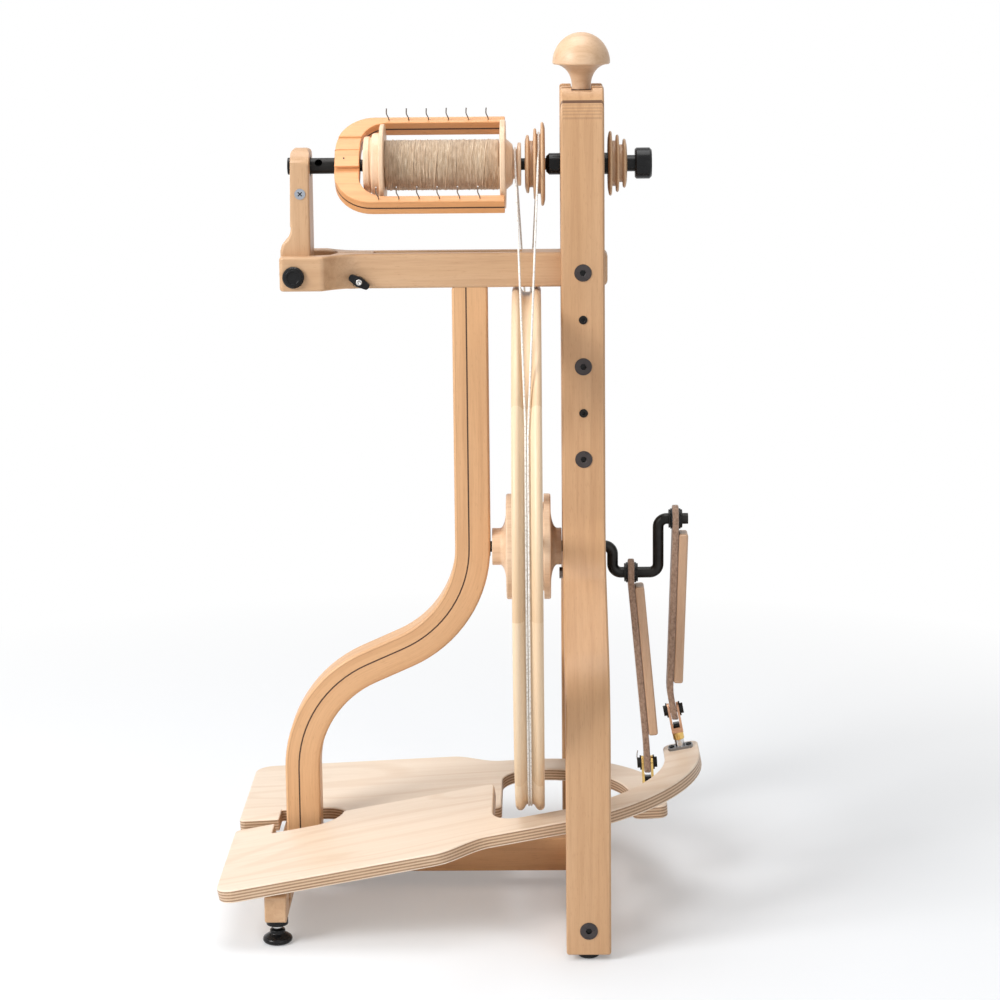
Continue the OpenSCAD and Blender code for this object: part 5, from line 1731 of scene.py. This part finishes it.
@dataclass(frozen=True)
class Lamp:
    """A soft area light."""

    name: str
    place: Triple
    power: float
    size: float


@dataclass
class Studio:
    """Floor, backdrop colour, lights and camera."""

    aim: Triple = (0.0, 0.0, 0.42)
    lamps: tuple[Lamp, ...] = (
        Lamp("key", (-2.1, -1.5, 1.9), 74.0, 1.3),
        Lamp("top", (-0.2, 0.1, 2.9), 42.0, 1.8),
        Lamp("fill", (1.4, -2.6, 1.2), 13.0, 1.6),
    )
    ambient: float = 0.26
    floor_half: float = 4.0
    floor_z: float = -0.2 * MM
    floor_colour: Colour = (0.875, 0.895, 0.92)
    floor_roughness: float = 0.7
    fade: Pair = (0.45, 1.15)
    floor_glow: Pair = (0.22, 1.0)
    camera_place: Triple = (0.0725, -2.400, 0.9020)
    pitch: float = math.radians(10.084)
    yaw: float = math.radians(0.883)
    roll: float = math.radians(-0.587)
    lens: float = 93.40
    rise: float = -0.10
    sensor: float = 36.0
    far_clip: float = 50.0

    def build(self) -> None:
        """Builds the stage."""
        self.floor()
        self.sky()
        for lamp in self.lamps:
            self.light(lamp)
        self.camera()

    def floor(self) -> None:
        """Lays a pale floor that turns white away from the object."""
        bpy.ops.mesh.primitive_plane_add(size=2 * self.floor_half, location=(0, 0, self.floor_z))
        plane = bpy.context.active_object
        plane.name = "floor"
        g = Graph(bpy.data.materials.new("floor"))
        material = g.close({"Base Color": self.floor_colour, "Roughness": self.floor_roughness})
        length = g.node("VectorMath", {0: g.place()}, operation="LENGTH").outputs["Value"]
        white = g.maths("MULTIPLY", g.span(length, self.fade, self.floor_glow), g.seen())
        glow = g.node("Emission", {"Strength": 1.0}).outputs[0]
        shader = g.tree.nodes["Principled BSDF"].outputs[0]
        blend = g.node("MixShader", {0: white, 1: shader, 2: glow}).outputs[0]
        g.feed(g.tree.nodes["Material Output"], {"Surface": blend})
        plane.data.materials.append(material)

    def sky(self) -> None:
        """Makes the backdrop white where it is seen and a soft grey light on everything else."""
        g = Graph(bpy.data.worlds.new("backdrop"))
        bpy.context.scene.world = g.owner
        strength = g.span(g.seen(), (0.0, 1.0), (self.ambient, 1.0))
        g.feed(g.tree.nodes["Background"], {"Color": (1.0, 1.0, 1.0), "Strength": strength})

    def light(self, lamp: Lamp) -> None:
        """Hangs one light, aimed at the object.

        Args:
            lamp: The light.
        """
        bpy.ops.object.light_add(type="AREA", location=lamp.place)
        made = bpy.context.active_object
        made.name = lamp.name
        made.data.energy = lamp.power
        made.data.size = lamp.size
        way = Vector(self.aim) - Vector(lamp.place)
        made.rotation_euler = way.to_track_quat("-Z", "Y").to_euler()

    def camera(self) -> None:
        """Sets the photograph's view."""
        bpy.ops.object.camera_add(location=self.camera_place)
        made = bpy.context.active_object
        turn = (Matrix.Rotation(self.yaw, 3, "Z") @ Matrix.Rotation(math.pi / 2 - self.pitch, 3, "X")
                @ Matrix.Rotation(self.roll, 3, "Z"))
        made.rotation_euler = turn.to_euler()
        made.data.lens = self.lens
        made.data.sensor_width = self.sensor
        made.data.shift_y = self.rise
        made.data.clip_end = self.far_clip
        bpy.context.scene.camera = made


def main() -> None:
    """Builds the scene."""
    logging.basicConfig(level=logging.INFO, format="%(name)s: %(message)s")
    bpy.ops.object.select_all(action="SELECT")
    bpy.ops.object.delete()
    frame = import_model()
    bpy.context.scene.view_settings.view_transform = "Standard"
    bench = Bench(frame["nodes"], Palette())
    for part in (Stand(bench), FlyerGroup(bench), DriveBand(bench), DriveWheel(bench), Footmen(bench),
                 Treadles(bench), Studio()):
        part.build()
        LOG.info("built %s", type(part).__name__)


if __name__ == "__main__":
    main()
